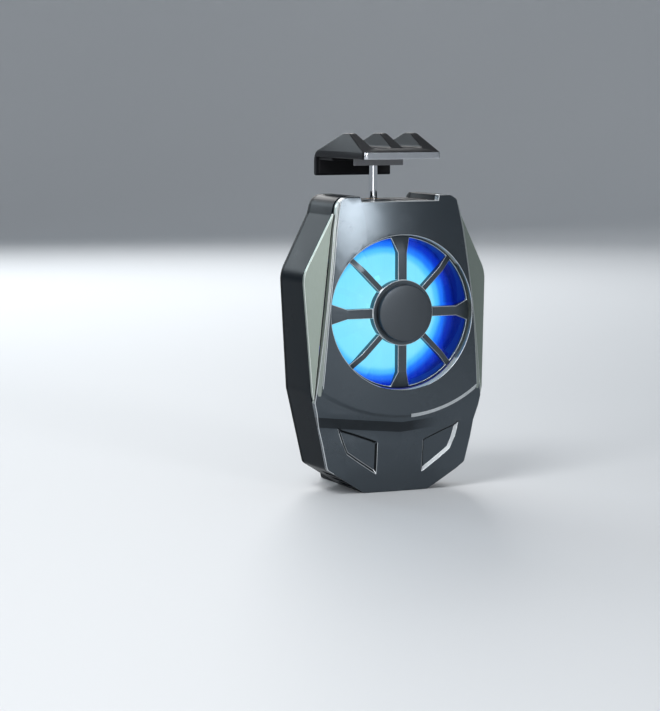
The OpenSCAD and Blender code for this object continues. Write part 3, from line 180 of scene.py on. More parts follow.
class Graph:
    """The node tree of one material."""

    def __init__(self, name: str) -> None:
        """Starts an empty material of that name."""
        self.material = bpy.data.materials.new(name)
        self.material.use_nodes = True
        self.tree = self.material.node_tree
        self.tree.nodes.clear()

    def node(self, kind: str, settings: dict[str, Any] | None = None,
             inputs: dict[int | str, Any] | None = None) -> bpy.types.ShaderNode:
        """Adds any node.

        Args:
            kind: the node's type name.
            settings: its own settings, with "stops" for a colour ramp.
            inputs: values or expressions for its sockets, by name or number.

        Returns:
            The new node.
        """
        made = self.tree.nodes.new(kind)
        for key, value in (settings or {}).items():
            if key == "stops":
                self._set_stops(made.color_ramp, value)
            else:
                setattr(made, key, value)
        for key, value in (inputs or {}).items():
            if isinstance(value, Expr):
                self.tree.links.new(value.socket, made.inputs[key])
            else:
                made.inputs[key].default_value = value
        return made

    @staticmethod
    def _set_stops(ramp: bpy.types.ColorRamp, stops: Sequence[tuple[float, Colour]]) -> None:
        """Gives a colour ramp its stops."""
        while len(ramp.elements) < len(stops):
            ramp.elements.new(1.0)
        for element, (position, colour) in zip(ramp.elements, stops):
            element.position = position
            element.color = colour

    def place(self) -> Expr:
        """Position on the piece, in metres."""
        return Expr(self, self.node("ShaderNodeTexCoord").outputs["Object"])

    def axes(self) -> tuple[Expr, Expr, Expr]:
        """The three parts of the position."""
        split = self.node("ShaderNodeSeparateXYZ", None, {0: self.place()})
        return (Expr(self, split.outputs[0]), Expr(self, split.outputs[1]), Expr(self, split.outputs[2]))

    def noise(self, size: float, detail: float = 2.0, stretch: Point = (1.0, 1.0, 1.0)) -> Expr:
        """Cloudy noise.

        Args:
            size: size of its features in metres.
            detail: how many finer layers it has.
            stretch: factors on the features' size along the axes.

        Returns:
            Values about one half.
        """
        scale = tuple(1 / (size * s) for s in stretch)
        mapped = self.node("ShaderNodeMapping", None, {"Vector": self.place(), "Scale": scale})
        inputs = {"Vector": Expr(self, mapped.outputs[0]), "Scale": 1.0, "Detail": detail}
        return Expr(self, self.node("ShaderNodeTexNoise", None, inputs).outputs[0])

    def ramp(self, value: Term, stops: Sequence[tuple[float, Colour]]) -> Expr:
        """Colour that follows a value through stops, with soft changes."""
        made = self.node("ShaderNodeValToRGB", {"stops": stops}, {0: value})
        made.color_ramp.interpolation = "EASE"
        return Expr(self, made.outputs[0])

    def mix(self, share: Term, first: Colour | Expr, second: Colour | Expr) -> Expr:
        """Blend of two colours."""
        made = self.node("ShaderNodeMix", {"data_type": "RGBA"}, {0: share, 6: first, 7: second})
        return Expr(self, made.outputs[2])

    def eased(self, radius: float) -> tuple[Expr, Expr]:
        """Rounds the edges of the surface.

        Args:
            radius: radius of the edges in metres.

        Returns:
            The rounded normal, and how close a point is to an edge, from 0 to 1.
        """
        soft = Expr(self, self.node("ShaderNodeBevel", {"samples": 6}, {"Radius": radius}).outputs[0])
        flat = Expr(self, self.node("ShaderNodeNewGeometry").outputs["Normal"])
        match = self.node("ShaderNodeVectorMath", {"operation": "DOT_PRODUCT"}, {0: soft, 1: flat})
        return soft, ((1.0 - Expr(self, match.outputs["Value"])) * 6.0).clamped()

    def bump(self, height: Expr, depth: float, base: Expr | None = None) -> Expr:
        """Normal of a relief.

        Args:
            height: the relief, from 0 to 1.
            depth: how deep it is in metres.
            base: the normal that it lies on.

        Returns:
            The changed normal.
        """
        inputs: dict[int | str, Any] = {"Height": height, "Distance": depth, "Strength": 1.0}
        if base is not None:
            inputs["Normal"] = base
        return Expr(self, self.node("ShaderNodeBump", None, inputs).outputs[0])

    def finish(self, **inputs: Any) -> bpy.types.Material:
        """Ends the tree in a surface shader.

        Args:
            inputs: sockets of the shader, with spaces written as underscores.

        Returns:
            The finished material.
        """
        named = {key.replace("_", " "): value for key, value in inputs.items()}
        shader = self.node("ShaderNodeBsdfPrincipled", None, named)
        self.node("ShaderNodeOutputMaterial", None, {"Surface": Expr(self, shader.outputs[0])})
        return self.material


@dataclass(frozen=True)
class Lacquer:
    """Satin metallic lacquer with fine flakes and brighter edges, as on the cover, with a band of
    painted shade along the cover's fold where fold_high is set.
    """

    name: str
    slot: str
    colour: Colour
    gloss: float = 0.3
    metal: float = 0.9
    edge: float = 0.2 * MM
    flake: float = 0.09 * MM
    worn: float = 1.6
    fold_low: float = 0.0
    fold_high: float = 0.0
    fold_slope: float = 0.091
    fold_blur: float = 0.12 * MM
    fold_fade: float = 8 * MM
    fold_shade_strength: float = 0.9

    def material(self) -> bpy.types.Material:
        """Builds the finish."""
        graph = Graph(self.name)
        flakes = graph.noise(self.flake, 1.0)
        cloud = graph.noise(9 * MM, 3.0)
        soft, rim = graph.eased(self.edge)
        base = graph.mix(flakes, shade(self.colour, 0.8), shade(self.colour, 1.2))
        base = graph.mix(rim * 0.6, base, shade(self.colour, self.worn))
        # painted shade: the base colour darkens in a band along the fold
        if self.fold_high > 0:
            base = graph.mix(self._painted_fold_shade(graph), base, shade(self.colour, 0.3))
        rough = self.gloss + 0.10 * (cloud - 0.5) + 0.05 * (flakes - 0.5)
        return graph.finish(Base_Color=base, Metallic=self.metal, Roughness=rough,
                            Normal=graph.bump(flakes, 0.001 * MM, soft),
                            Coat_Weight=0.08, Coat_Roughness=0.16)

    def _painted_fold_shade(self, graph: Graph) -> Expr:
        """Where the painted shade along the fold lies: a darker band that fades out to the right.

        Args:
            graph: the material's node tree.

        Returns:
            A mask from 0 to 1.
        """
        across, _, height = graph.axes()
        rise = self.fold_slope * ((across * across) ** 0.5)
        upper = ((self.fold_high + rise - height) / self.fold_blur).clamped()
        lower = ((height - rise - self.fold_low) / self.fold_blur).clamped()
        return self.fold_shade_strength * upper * lower * (1.3 - across / self.fold_fade).clamped()


@dataclass(frozen=True)
class Brushed:
    """Metal with a fine grain along one axis."""

    name: str
    slot: str
    colour: Colour
    gloss: float = 0.4
    metal: float = 0.9
    grain: Point = (0.05, 0.05, 1.0)
    edge: float = 0.2 * MM
    worn: float = 1.2

    def material(self) -> bpy.types.Material:
        """Builds the finish."""
        graph = Graph(self.name)
        lines = graph.noise(2.4 * MM, 3.0, self.grain)
        cloud = graph.noise(12 * MM, 2.0)
        soft, rim = graph.eased(self.edge)
        base = graph.mix(lines, shade(self.colour, 0.9), shade(self.colour, 1.08))
        base = graph.mix(rim, base, shade(self.colour, self.worn))
        rough = self.gloss + 0.12 * (lines - 0.5) + 0.08 * (cloud - 0.5)
        return graph.finish(Base_Color=base, Metallic=self.metal, Roughness=rough,
                            Normal=graph.bump(lines, 0.0015 * MM, soft))


@dataclass(frozen=True)
class Moulded:
    """Moulded plastic or paint with a fine grained skin."""

    name: str
    slot: str
    colour: Colour
    gloss: float = 0.4
    metal: float = 0.0
    grain: float = 0.16 * MM
    relief: float = 0.003 * MM
    edge: float = 0.2 * MM
    shine: float = 0.4
    worn: float = 1.5

    def material(self) -> bpy.types.Material:
        """Builds the finish."""
        graph = Graph(self.name)
        grain = graph.noise(self.grain, 2.0)
        cloud = graph.noise(8 * MM, 3.0)
        soft, rim = graph.eased(self.edge)
        base = graph.mix(cloud, shade(self.colour, 0.86), shade(self.colour, 1.14))
        base = graph.mix(rim * 0.6, base, shade(self.colour, self.worn))
        rough = self.gloss + 0.12 * (cloud - 0.5) + 0.06 * (grain - 0.5)
        return graph.finish(Base_Color=base, Metallic=self.metal, Roughness=rough,
                            Normal=graph.bump(grain, self.relief, soft), Specular_IOR_Level=self.shine)


@dataclass(frozen=True)
class Polished:
    """Bright plated metal with faint wiping marks."""

    name: str
    slot: str
    colour: Colour
    gloss: float = 0.08
    edge: float = 0.12 * MM

    def material(self) -> bpy.types.Material:
        """Builds the finish."""
        graph = Graph(self.name)
        wipes = graph.noise(1.6 * MM, 4.0, (0.2, 0.2, 1.0))
        base = graph.mix(wipes, shade(self.colour, 0.94), self.colour)
        rough = self.gloss + 0.08 * (wipes - 0.4).clamped()
        soft, _ = graph.eased(self.edge)
        return graph.finish(Base_Color=base, Metallic=1.0, Roughness=rough, Normal=soft)


@dataclass(frozen=True)
class Lit:
    """Painted glow: emission that stands in for the light of the fan's lamps on a surface, bright about
    the axis and blue at the rim; on the lamps' own lenses it is their own light.
    """

    name: str
    slot: str
    colour: Colour
    power: float = 1.0
    metal: float = 0.0
    gloss: float = 0.42
    clear: float = 1.0
    axis_height: float = 45.4 * MM
    centre: float = -0.8 * MM
    plane: float = 11 * MM
    lean: float = 0.436
    reach: float = 20.4 * MM
    bore: float = 19.9 * MM
    blur: float = 0.2 * MM
    stops: tuple[tuple[float, Colour], ...] = (
        (0.0, tone("#93ecff")), (0.68, tone("#80e2ff")), (0.75, tone("#4fc0ff")),
        (0.815, tone("#1f78ff")), (0.905, tone("#0a30c0")), (1.0, tone("#041470")))

    def material(self) -> bpy.types.Material:
        """Builds the finish."""
        graph = Graph(self.name)
        across, along, height = graph.axes()
        rise = height - self.axis_height
        shift = across - self.centre - self.lean * (along + self.plane)
        radius = (shift * shift + rise * rise) ** 0.5
        swirl = graph.noise(6 * MM, 2.0)
        # painted light: the glow's colour follows the distance from a leaned axis and feeds the emission
        light = graph.ramp(radius / self.reach + 0.03 * (swirl - 0.5), self.stops)
        within = ((self.bore - (across * across + rise * rise) ** 0.5) / self.blur).clamped()
        light = graph.mix(within, tone("#000000"), light)
        rough = self.gloss + 0.1 * (swirl - 0.5)
        return graph.finish(Base_Color=self.colour, Metallic=self.metal, Roughness=rough,
                            Emission_Color=light, Emission_Strength=self.power,
                            Specular_IOR_Level=0.2, Alpha=self.clear)


class Look(Enum):
    """Every finish on the cooler."""

    # the cover's lacquer carries a band of painted shade along its fold
    COVER = Lacquer("cover_lacquer", "cover_metal", tone("#4d545a"), 0.26,
                    fold_low=15.3 * MM, fold_high=18.0 * MM)
    # painted highlight: a bright copy of the cover's metal on its bevels, the right half of its step and
    # the right pocket's upper wall, also on the grille's bevels
    EDGE = Brushed("cover_painted_highlight", "cover_metal", tone("#c8cdd0"), 0.3, 0.6)
    TRIM = Brushed("cover_trim", "cover_metal", tone("#949c97"), 0.34)
    # painted highlight: a light copy of the cover's metal on the opening's wall
    RIM = Brushed("opening_rim_painted_highlight", "cover_metal", tone("#b9beba"), 0.45, 0.2)
    # painted shade: a near-black copy of the cover's metal on the pocket walls that look down or away
    # from the middle
    RECESS = Lacquer("recess_painted_shade", "cover_metal", tone("#16191c"), 0.5)
    GRILLE = Lacquer("grille_lacquer", "grille_metal", tone("#4c5359"), 0.36)
    CAP = Lacquer("cap_lacquer", "grille_metal", tone("#4c5156"), 0.4)
    PANEL = Brushed("panel_satin", "panel_satin", tone("#89938c"), 0.42)
    # painted highlight: a bright copy of the panel's satin on its bevels
    PANEL_EDGE = Brushed("panel_painted_highlight", "panel_satin", tone("#d8ddd8"), 0.3)
    SHELL = Moulded("shell_navy", "shell_navy", tone("#0d141a"), 0.3, shine=0.02, worn=1.6)
    PLATE = Moulded("plate_black", "shell_navy", tone("#090c10"), 0.45, shine=0.04)
    JAW = Moulded("jaw_charcoal", "jaw_charcoal", tone("#1b1c1f"), 0.36, shine=0.04)
    FOOT = Moulded("foot_grey", "foot_grey", tone("#8c8d90"), 0.5, 0.2)
    RUBBER = Moulded("grip_rubber", "grip_rubber", tone("#131316"), 0.74, relief=0.02 * MM, shine=0.25)
    PAD = Moulded("pad_silicone", "pad_silicone", tone("#7f878d"), 0.62, relief=0.012 * MM)
    BRIGHT = Polished("bright_plate", "bright_metal", tone("#eceef1"))
    BAND = Polished("band_plate", "bright_metal", tone("#d2d5da"), 0.16)
    STEEL = Brushed("bare_steel", "bare_steel", tone("#a9acb0"), 0.34)
    ALUMINIUM = Brushed("bare_aluminium", "bare_aluminium", tone("#c3c6ca"), 0.38)
    CERAMIC = Moulded("alumina", "ceramic", tone("#ece9e1"), 0.6)
    LEAD = Moulded("lead_insulation", "lead_insulation", tone("#6e2020"), 0.55)
    FOAM = Moulded("foam", "foam", tone("#4b4d50"), 0.9, grain=0.5 * MM, relief=0.05 * MM)
    BRONZE = Brushed("sintered_bronze", "bronze", tone("#b48a58"), 0.5)
    COPPER = Brushed("lacquered_copper", "copper_wire", tone("#b8733a"), 0.3)
    BOARD = Moulded("solder_mask", "circuit_board", tone("#1d5b3c"), 0.35)
    CHIP = Moulded("chip_black", "component_black", tone("#222326"), 0.5)
    MAGNET = Moulded("magnet_grey", "magnet", tone("#3b3d41"), 0.55, 0.4)
    # painted glow of the fan's lamps on the duct, heat sink, blades and motor board; the LED lenses are
    # the lamps
    DUCT = Lit("painted_glow_duct", "fan_frame_plastic", tone("#06102a"))
    SINK = Lit("painted_glow_aluminium", "bare_aluminium", tone("#5f7484"), 1.0, 0.3, 0.6)
    BLADE = Lit("clear_blades_painted_glow", "impeller_clear", tone("#04102c"), 1.0, clear=0.55)
    LIT_BOARD = Lit("painted_glow_board", "circuit_board", tone("#10402c"))
    LAMP = Lit("lamp_lens", "led_lens", tone("#c8faff"), 1.1)


class Palette:
    """Makes each material once."""

    def __init__(self) -> None:
        """Starts with no material made."""
        self._made: dict[Look, bpy.types.Material] = {}

    def get(self, look: Look) -> bpy.types.Material:
        """Returns the material of a finish."""
        if look not in self._made:
            self._made[look] = look.value.material()
        return self._made[look]

    def dress(self, piece: bpy.types.Object, *looks: Look) -> None:
        """Gives a piece its finishes, the first of them all over."""
        piece.data.materials.clear()
        for look in looks:
            piece.data.materials.append(self.get(look))


class Bench:
    """Hand tools: selection, edit mode and modifiers."""

    @staticmethod
    def take(piece: bpy.types.Object) -> None:
        """Selects one object alone and makes it active."""
        bpy.ops.object.select_all(action="DESELECT")
        piece.select_set(True)
        bpy.context.view_layer.objects.active = piece

    @staticmethod
    @contextmanager
    def edit(piece: bpy.types.Object, mode: str = "VERT") -> Iterator[bpy.types.Mesh]:
        """Opens a piece in edit mode with nothing selected.

        Args:
            piece: the mesh object.
            mode: VERT, EDGE or FACE selection.

        Yields:
            The piece's mesh.
        """
        Bench.take(piece)
        bpy.ops.object.mode_set(mode="EDIT")
        bpy.ops.mesh.select_mode(type=mode)
        bpy.ops.mesh.select_all(action="DESELECT")
        try:
            yield piece.data
        finally:
            bpy.ops.object.mode_set(mode="OBJECT")

    @staticmethod
    def pick_faces(piece: bpy.types.Object, low: Sequence[float], high: Sequence[float],
                   facing: Point | None = None) -> None:
        """Selects the faces whose middle lies in a box, from edit mode.

        Args:
            piece: the mesh object, in edit mode.
            low: the box's lowest corner.
            high: the box's highest corner.
            facing: direction that the faces must look in.
        """
        bpy.ops.object.mode_set(mode="OBJECT")
        for face in piece.data.polygons:
            inside = all(a <= c <= b for a, c, b in zip(low, face.center, high))
            face.select = inside and (facing is None or face.normal.dot(Vector(facing)) > 0.7)
        bpy.ops.object.mode_set(mode="EDIT")

    @staticmethod
    def cut(places: Sequence[float], axis: int) -> None:
        """Cuts the piece in edit mode across by flat cuts.

        Args:
            places: where the cuts lie along the axis.
            axis: 0, 1 or 2 for x, y or z.
        """
        normal = [float(axis == i) for i in range(3)]
        for place in places:
            bpy.ops.mesh.select_all(action="SELECT")
            bpy.ops.mesh.bisect(plane_co=[place * n for n in normal], plane_no=normal)
        bpy.ops.mesh.select_all(action="DESELECT")

    @staticmethod
    def apply(piece: bpy.types.Object, kind: str, **settings: Any) -> None:
        """Adds a modifier with its settings and applies it."""
        Bench.take(piece)
        modifier = piece.modifiers.new(kind.lower(), kind)
        for key, value in settings.items():
            setattr(modifier, key, value)
        bpy.ops.object.modifier_apply(modifier=modifier.name)

    @staticmethod
    def block(name: str, low: Sequence[float], high: Sequence[float]) -> bpy.types.Object:
        """Adds a block between two corners, with its place in its mesh."""
        bpy.ops.object.select_all(action="DESELECT")
        middle = [(a + b) / 2 for a, b in zip(low, high)]
        bpy.ops.mesh.primitive_cube_add(size=1.0, location=middle)
        piece = bpy.context.object
        piece.name = name
        piece.scale = [b - a for a, b in zip(low, high)]
        bpy.ops.object.transform_apply(location=True, rotation=True, scale=True)
        return piece

    @staticmethod
    def ease(piece: bpy.types.Object, width: float, angle: float = 30.0, slot: int = -1) -> None:
        """Bevels the edges sharper than an angle, and gives the bevels a material slot."""
        Bench.apply(piece, "BEVEL", width=width, segments=2, limit_method="ANGLE", material=slot,
                    angle_limit=math.radians(angle), use_clamp_overlap=False)

    @staticmethod
    def smooth(piece: bpy.types.Object, angle: float = 40.0) -> None:
        """Shades a piece smooth with edges sharper than an angle kept."""
        Bench.take(piece)
        bpy.ops.object.shade_smooth_by_angle(angle=math.radians(angle))
        Bench.apply(piece, "WEIGHTED_NORMAL", keep_sharp=True, weight=60)


@dataclass
class Workshop:
    """What every sub-assembly needs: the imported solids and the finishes."""

    nodes: dict[str, bpy.types.Object]
    palette: Palette
    made: list[str] = field(default_factory=list)

    def keep(self, look: Look, *names: str) -> None:
        """Gives solids that stay as they are their finish."""
        for name in names:
            self.palette.dress(self.nodes[name], look)
            LOG.info("kept %s as %s", name, look.name.lower())

    def eased_copy(self, node: str, body: Body, looks: Sequence[Look], ease: float = 0.0,
                   choose: Callable[[Face], int] | None = None,
                   quiet: Callable[[Face], bool] | None = None) -> bpy.types.Object:
        """Replaces a solid by a merged copy with eased edges and smooth shading.

        Args:
            node: the solid's name.
            body: the group that it moves with.
            looks: its finish, then the bevels' finish, then others that choose picks.
            ease: width of the edges' bevel in metres, or 0 for none.
            choose: gives the number of a face's finish.
            quiet: tells which bevels stay in the first finish.

        Returns:
            The new piece.
        """
        piece = bpy.data.objects.new(node + "_dressed", self.nodes[node].data.copy())
        bpy.context.scene.collection.objects.link(piece)
        self.palette.dress(piece, *looks)
        with Bench.edit(piece):
            bpy.ops.mesh.customdata_custom_splitnormals_clear()
            bpy.ops.mesh.select_all(action="SELECT")
            bpy.ops.mesh.remove_doubles(threshold=0.004 * MM)
            bpy.ops.mesh.dissolve_limited(angle_limit=math.radians(0.3))
        for face in piece.data.polygons:
            face.material_index = choose(face) if choose else Zone.PLAIN
        # the bevels take the second finish, which is a painted highlight on the cover, grille and panels
        if ease > 0:
            Bench.ease(piece, ease, slot=Zone.EDGE if len(looks) > 1 else -1)
        if quiet is not None:
            for face in piece.data.polygons:
                face.material_index = Zone.PLAIN if quiet(face) else face.material_index
        Bench.smooth(piece, 50.0 if ease > 0 else 40.0)
        return self.hand_over(piece, body, looks[0], node)

    def hand_over(self, piece: bpy.types.Object, body: Body, look: Look, node: str) -> bpy.types.Object:
        """Finishes a piece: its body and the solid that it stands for."""
        if not piece.data.materials:
            self.palette.dress(piece, look)
        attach(piece, body.value)
        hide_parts(node)
        self.made.append(piece.name)
        LOG.info("made %s, %d faces, on %s", piece.name, len(piece.data.polygons), body.value)
        return piece


@dataclass
class Casing:
    """Cover, panels, rear shell and back plate."""

    shop: Workshop
    edge: float = 0.14 * MM
    plate_edge: float = 0.04 * MM
    crown: Point = (23.2 * MM, 40 * MM, 210 * MM)
    barrel_r: float = 110 * MM
    trim_x: float = 15.2 * MM
    hip_height: float = 23.6 * MM
    ledge_low: float = 27 * MM
    ledge_drop: float = 0.3 * MM
    brow_low: float = 18.6 * MM
    brow_high: float = 31 * MM
    brow_start: float = 2.5 * MM
    step_half: float = 21.6 * MM
    chin_high: float = 17.6 * MM
    chin_half: float = 17.4 * MM
    axis_height: float = 45.4 * MM
    opening_r: float = 20.9 * MM
    bevel_area: float = 0.84 * MM * MM

    def build(self) -> None:
        """Dresses the casing."""
        shop = self.shop
        cover = (Look.COVER, Look.EDGE, Look.TRIM, Look.RIM, Look.RECESS)
        shop.eased_copy("front_cover", Body.CASING, cover, self.edge, self.zone, self.quiet)
        # the panels' bevels take a painted highlight
        for panel in ("left_side_panel", "right_side_panel"):
            shop.eased_copy(panel, Body.CASING, (Look.PANEL, Look.PANEL_EDGE), self.edge)
        shop.eased_copy("rear_shell", Body.CASING, (Look.SHELL,), self.edge)
        shop.eased_copy("back_plate", Body.CASING, (Look.PLATE,), self.plate_edge)

    def face_depth(self, across: float, height: float) -> float:
        """Depth of the raised face at a place.

        Args:
            across: distance from the middle.
            height: height above the floor.

        Returns:
            Depth in metres.
        """
        depth, level, radius = self.crown
        fall = self.barrel_r - math.sqrt(self.barrel_r ** 2 - across ** 2)
        return depth - (height - level) ** 2 / (2 * radius) - fall

    def zone(self, face: Face) -> Zone:
        """Tells the cover's plain surface from its step, trim, opening and pockets.

        Args:
            face: a face of the cover.

        Returns:
            The finish that the face takes.
        """
        across, depth, height = abs(face.center.x), -face.center.y, face.center.z
        normal = face.normal
        if height > self.hip_height and across > self.trim_x:
            low = depth < self.face_depth(across, height) - self.ledge_drop
            ledge = normal.y < -0.8 and height > self.ledge_low and low
            if ledge or abs(normal.x) > 0.7:
                return Zone.TRIM
        inward = Vector((-face.center.x, 0, self.axis_height - height))
        if inward.length < self.opening_r and inward.normalized().dot(normal) > 0.6:
            return Zone.OPENING
        # the step's faces right of brow_start take the painted highlight, those on the left stay plain
        if self.brow_low < height < self.brow_high:
            step = -0.9 < normal.y < -0.5 and normal.z < -0.2
            return Zone.EDGE if step and face.center.x > self.brow_start else Zone.PLAIN
        if height < self.chin_high and across < self.chin_half and normal.y > -0.85:
            return self._pocket_wall(face.center.x, normal)
        return Zone.PLAIN

    def quiet(self, face: Face) -> bool:
        """Tells the bevels round the pockets and on the left of the step, which get no painted
        highlight.

        Args:
            face: a face of the cover with its edges bevelled.

        Returns:
            Whether the face takes the plain finish instead of the painted highlight.
        """
        if face.material_index != Zone.EDGE or face.area >= self.bevel_area:
            return False
        across, height = face.center.x, face.center.z
        pocket = height < self.chin_high and abs(across) < self.chin_half and face.normal.y < -0.3
        step = self.brow_low < height < self.ledge_low and abs(across) < self.step_half
        bright = across > self.brow_start and face.normal.z < -0.2
        return (pocket and face.normal.z < 0.1) or (step and not bright)

    @staticmethod
    def _pocket_wall(across: float, normal: Vector) -> Zone:
        """Finish of a pocket's wall.

        Args:
            across: where the wall lies, to the right of the middle.
            normal: the direction that it looks in.

        Returns:
            Painted highlight on the right where it looks up, painted shade where it looks down or away
            from the middle.
        """
        if across > 0 and normal.z > 0.1 and normal.x < -0.1:
            return Zone.EDGE
        return Zone.RECESS if normal.z < -0.2 or normal.x * across > 0 else Zone.PLAIN


@dataclass
class Fan:
    """Grille, hub cap, impeller with painted glow and the motor behind it."""

    shop: Workshop
    edge: float = 0.12 * MM

    def build(self) -> None:
        """Dresses the fan."""
        shop = self.shop
        # the grille's bevels take the painted highlight
        shop.eased_copy("fan_grille", Body.CASING, (Look.GRILLE, Look.EDGE), self.edge)
        shop.eased_copy("hub_cap", Body.CASING, (Look.CAP,), 2 * self.edge)
        # the impeller, fan frame, rotor yoke and motor board take the painted glow of the fan's lamps
        shop.eased_copy("impeller", Body.ROTOR, (Look.BLADE,))
        shop.keep(Look.DUCT, "fan_frame")
        shop.keep(Look.BRONZE, "bearing_sleeve")
        shop.keep(Look.STEEL, "stator_core", "shaft_clip")
        shop.keep(Look.SINK, "rotor_yoke")
        shop.keep(Look.COPPER, "stator_windings")
        shop.keep(Look.LIT_BOARD, "motor_board")
        shop.keep(Look.LAMP, "led_chips")
        shop.keep(Look.LEAD, "fan_lead")
        shop.keep(Look.MAGNET, "rotor_magnet")
        shop.keep(Look.BRIGHT, "fan_shaft")


@dataclass
class Jaws:
    """Sliding upper jaw with its rod, fixed lower jaw and the pads on both."""

    shop: Workshop
    edge: float = 0.22 * MM
    band_edge: float = 0.1 * MM
    foot_edge: float = 0.12 * MM
    pad_edge: float = 0.1 * MM
    pad_thickness: float = 0.8 * MM
    rib_pitch: float = 1.1 * MM
    groove_edge: float = 0.22 * MM
    groove_depth: float = 0.25 * MM
    spring_keep: float = 0.28  # share of its length at the highest jaw

    def build(self) -> None:
        """Dresses the jaws."""
        shop = self.shop
        shop.eased_copy("upper_jaw", Body.JAW, (Look.JAW,), self.edge)
        shop.eased_copy("jaw_band", Body.JAW, (Look.BAND,), self.band_edge)
        shop.eased_copy("jaw_foot", Body.JAW, (Look.FOOT,), self.foot_edge)
        shop.eased_copy("clamp_rod", Body.JAW, (Look.BRIGHT,))
        shop.eased_copy("lower_jaw", Body.CASING, (Look.JAW,), self.edge)
        self._grip_pad("upper_jaw_pad", Body.JAW, -1.0)
        self._grip_pad("lower_jaw_pad", Body.CASING, 1.0)
        self._spring()
        shop.keep(Look.STEEL, "rod_collar", "jaw_screws")
        shop.keep(Look.BRONZE, "rod_bush")

    def _spring(self) -> None:
        """Dresses the clamp's spring and gives it a mesh of its own."""
        piece = self.shop.eased_copy("clamp_spring", Body.CASING, (Look.STEEL,))
        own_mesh(piece)

    def _grip_pad(self, node: str, body: Body, side: float) -> None:
        """Models a ribbed rubber pad along a jaw's seat and up its lip.

        Args:
            node: the solid that it stands for.
            body: the group that it moves with.
            side: 1 where the lip stands up, -1 where it hangs down.
        """
        low, high = (list(corner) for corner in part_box(node))
        lip = high[2] - low[2] - self.pad_thickness
        seat_low, seat_high = list(low), list(high)
        if side > 0:
            seat_high[2] = low[2] + self.pad_thickness
        else:
            seat_low[2] = high[2] - self.pad_thickness
        piece = Bench.block(node + "_ribbed", seat_low, seat_high)
        inner = high[1] - self.pad_thickness
        count = int((inner - low[1]) / self.rib_pitch)
        step = (inner - low[1]) / count
        grip = seat_high[2] if side > 0 else seat_low[2]
        with Bench.edit(piece, "FACE"):
            Bench.cut([low[1] + step * i for i in range(1, count + 1)], 1)
            Bench.pick_faces(piece, (-1, inner, -1), (1, high[1], 1), (0, 0, side))
            bpy.ops.mesh.extrude_region_move(TRANSFORM_OT_translate={"value": (0, 0, side * lip)})
            for i in range(0, count - 1, 2):
                Bench.pick_faces(piece, (-1, low[1] + step * i, grip - HAIR),
                                 (1, low[1] + step * (i + 1), grip + HAIR), (0, 0, side))
                bpy.ops.mesh.inset(thickness=self.groove_edge, depth=-self.groove_depth)
            bpy.ops.mesh.select_all(action="SELECT")
            bpy.ops.mesh.normals_make_consistent(inside=False)
        Bench.ease(piece, self.pad_edge, 40.0)
        Bench.smooth(piece, 50.0)
        self.shop.hand_over(piece, body, Look.RUBBER, node)


@dataclass
class Inside:
    """Cooling stack, electronics and screws."""

    shop: Workshop
    pad_corner: float = 1.4 * MM
    pad_edge: float = 0.1 * MM
    pad_frame: float = 1.2 * MM
    pad_sink: float = 0.12 * MM
    pad_cuts: int = 8

    def build(self) -> None:
        """Dresses what lies inside the casing and on its back."""
        shop = self.shop
        self._contact_pad()
        shop.keep(Look.ALUMINIUM, "cold_plate")
        # the heat sink takes the painted glow of the fan's lamps
        shop.keep(Look.SINK, "heat_sink")
        shop.keep(Look.CERAMIC, "peltier_cold_ceramic", "peltier_hot_ceramic")
        shop.keep(Look.STEEL, "peltier_legs", "usb_shell", "case_screws", "heat_sink_screws",
                  "fan_screws", "board_screws", "lower_jaw_screws")
        shop.keep(Look.LEAD, "peltier_leads")
        shop.keep(Look.FOAM, "insulation_frame")
        shop.keep(Look.BOARD, "control_board")
        shop.keep(Look.CHIP, "board_components", "usb_tongue")

    def _contact_pad(self) -> None:
        """Models the soft pad that touches the phone, with rounded corners and a framed face."""
        low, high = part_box("contact_pad")
        piece = Bench.block("contact_pad_framed", low, high)
        with Bench.edit(piece, "EDGE") as mesh:
            bpy.ops.object.mode_set(mode="OBJECT")
            for edge in mesh.edges:
                first, last = (mesh.vertices[i].co for i in edge.vertices)
                edge.select = abs(first.y - last.y) > HAIR
            bpy.ops.object.mode_set(mode="EDIT")
            bpy.ops.mesh.bevel(offset=self.pad_corner, segments=5)
            bpy.ops.mesh.select_mode(type="FACE")
            Bench.pick_faces(piece, (-1, high[1] - HAIR, -1), (1, high[1] + HAIR, 1), (0, 1, 0))
            bpy.ops.mesh.inset(thickness=self.pad_frame, depth=0.0)
            bpy.ops.mesh.inset(thickness=2 * self.pad_sink, depth=-self.pad_sink)
            for axis in (0, 2):
                span = high[axis] - low[axis]
                Bench.cut([low[axis] + span * i / self.pad_cuts for i in range(1, self.pad_cuts)], axis)
        Bench.ease(piece, self.pad_edge, 40.0)
        Bench.smooth(piece, 50.0)
        self.shop.hand_over(piece, Body.CASING, Look.PAD, "contact_pad")


@dataclass(frozen=True)
class Softbox:
    """A rectangular studio lamp that looks at a point."""

    name: str
    place: Point
    size: tuple[float, float]
    power: float
    colour: tuple[float, float, float] = (1.0, 1.0, 1.0)
    target: Point = (0.0, -0.01, 0.045)

    def build(self) -> None:
        """Adds the lamp."""
        lamp = bpy.data.lights.new(self.name, "AREA")
        lamp.shape = "RECTANGLE"
        lamp.size, lamp.size_y = self.size
        lamp.energy = self.power
        lamp.color = self.colour
        stand = bpy.data.objects.new(self.name, lamp)
        stand.location = self.place
        aim = Vector(self.target) - Vector(self.place)
        stand.rotation_euler = aim.to_track_quat("-Z", "Y").to_euler()
        stand.visible_camera = False
        bpy.context.scene.collection.objects.link(stand)


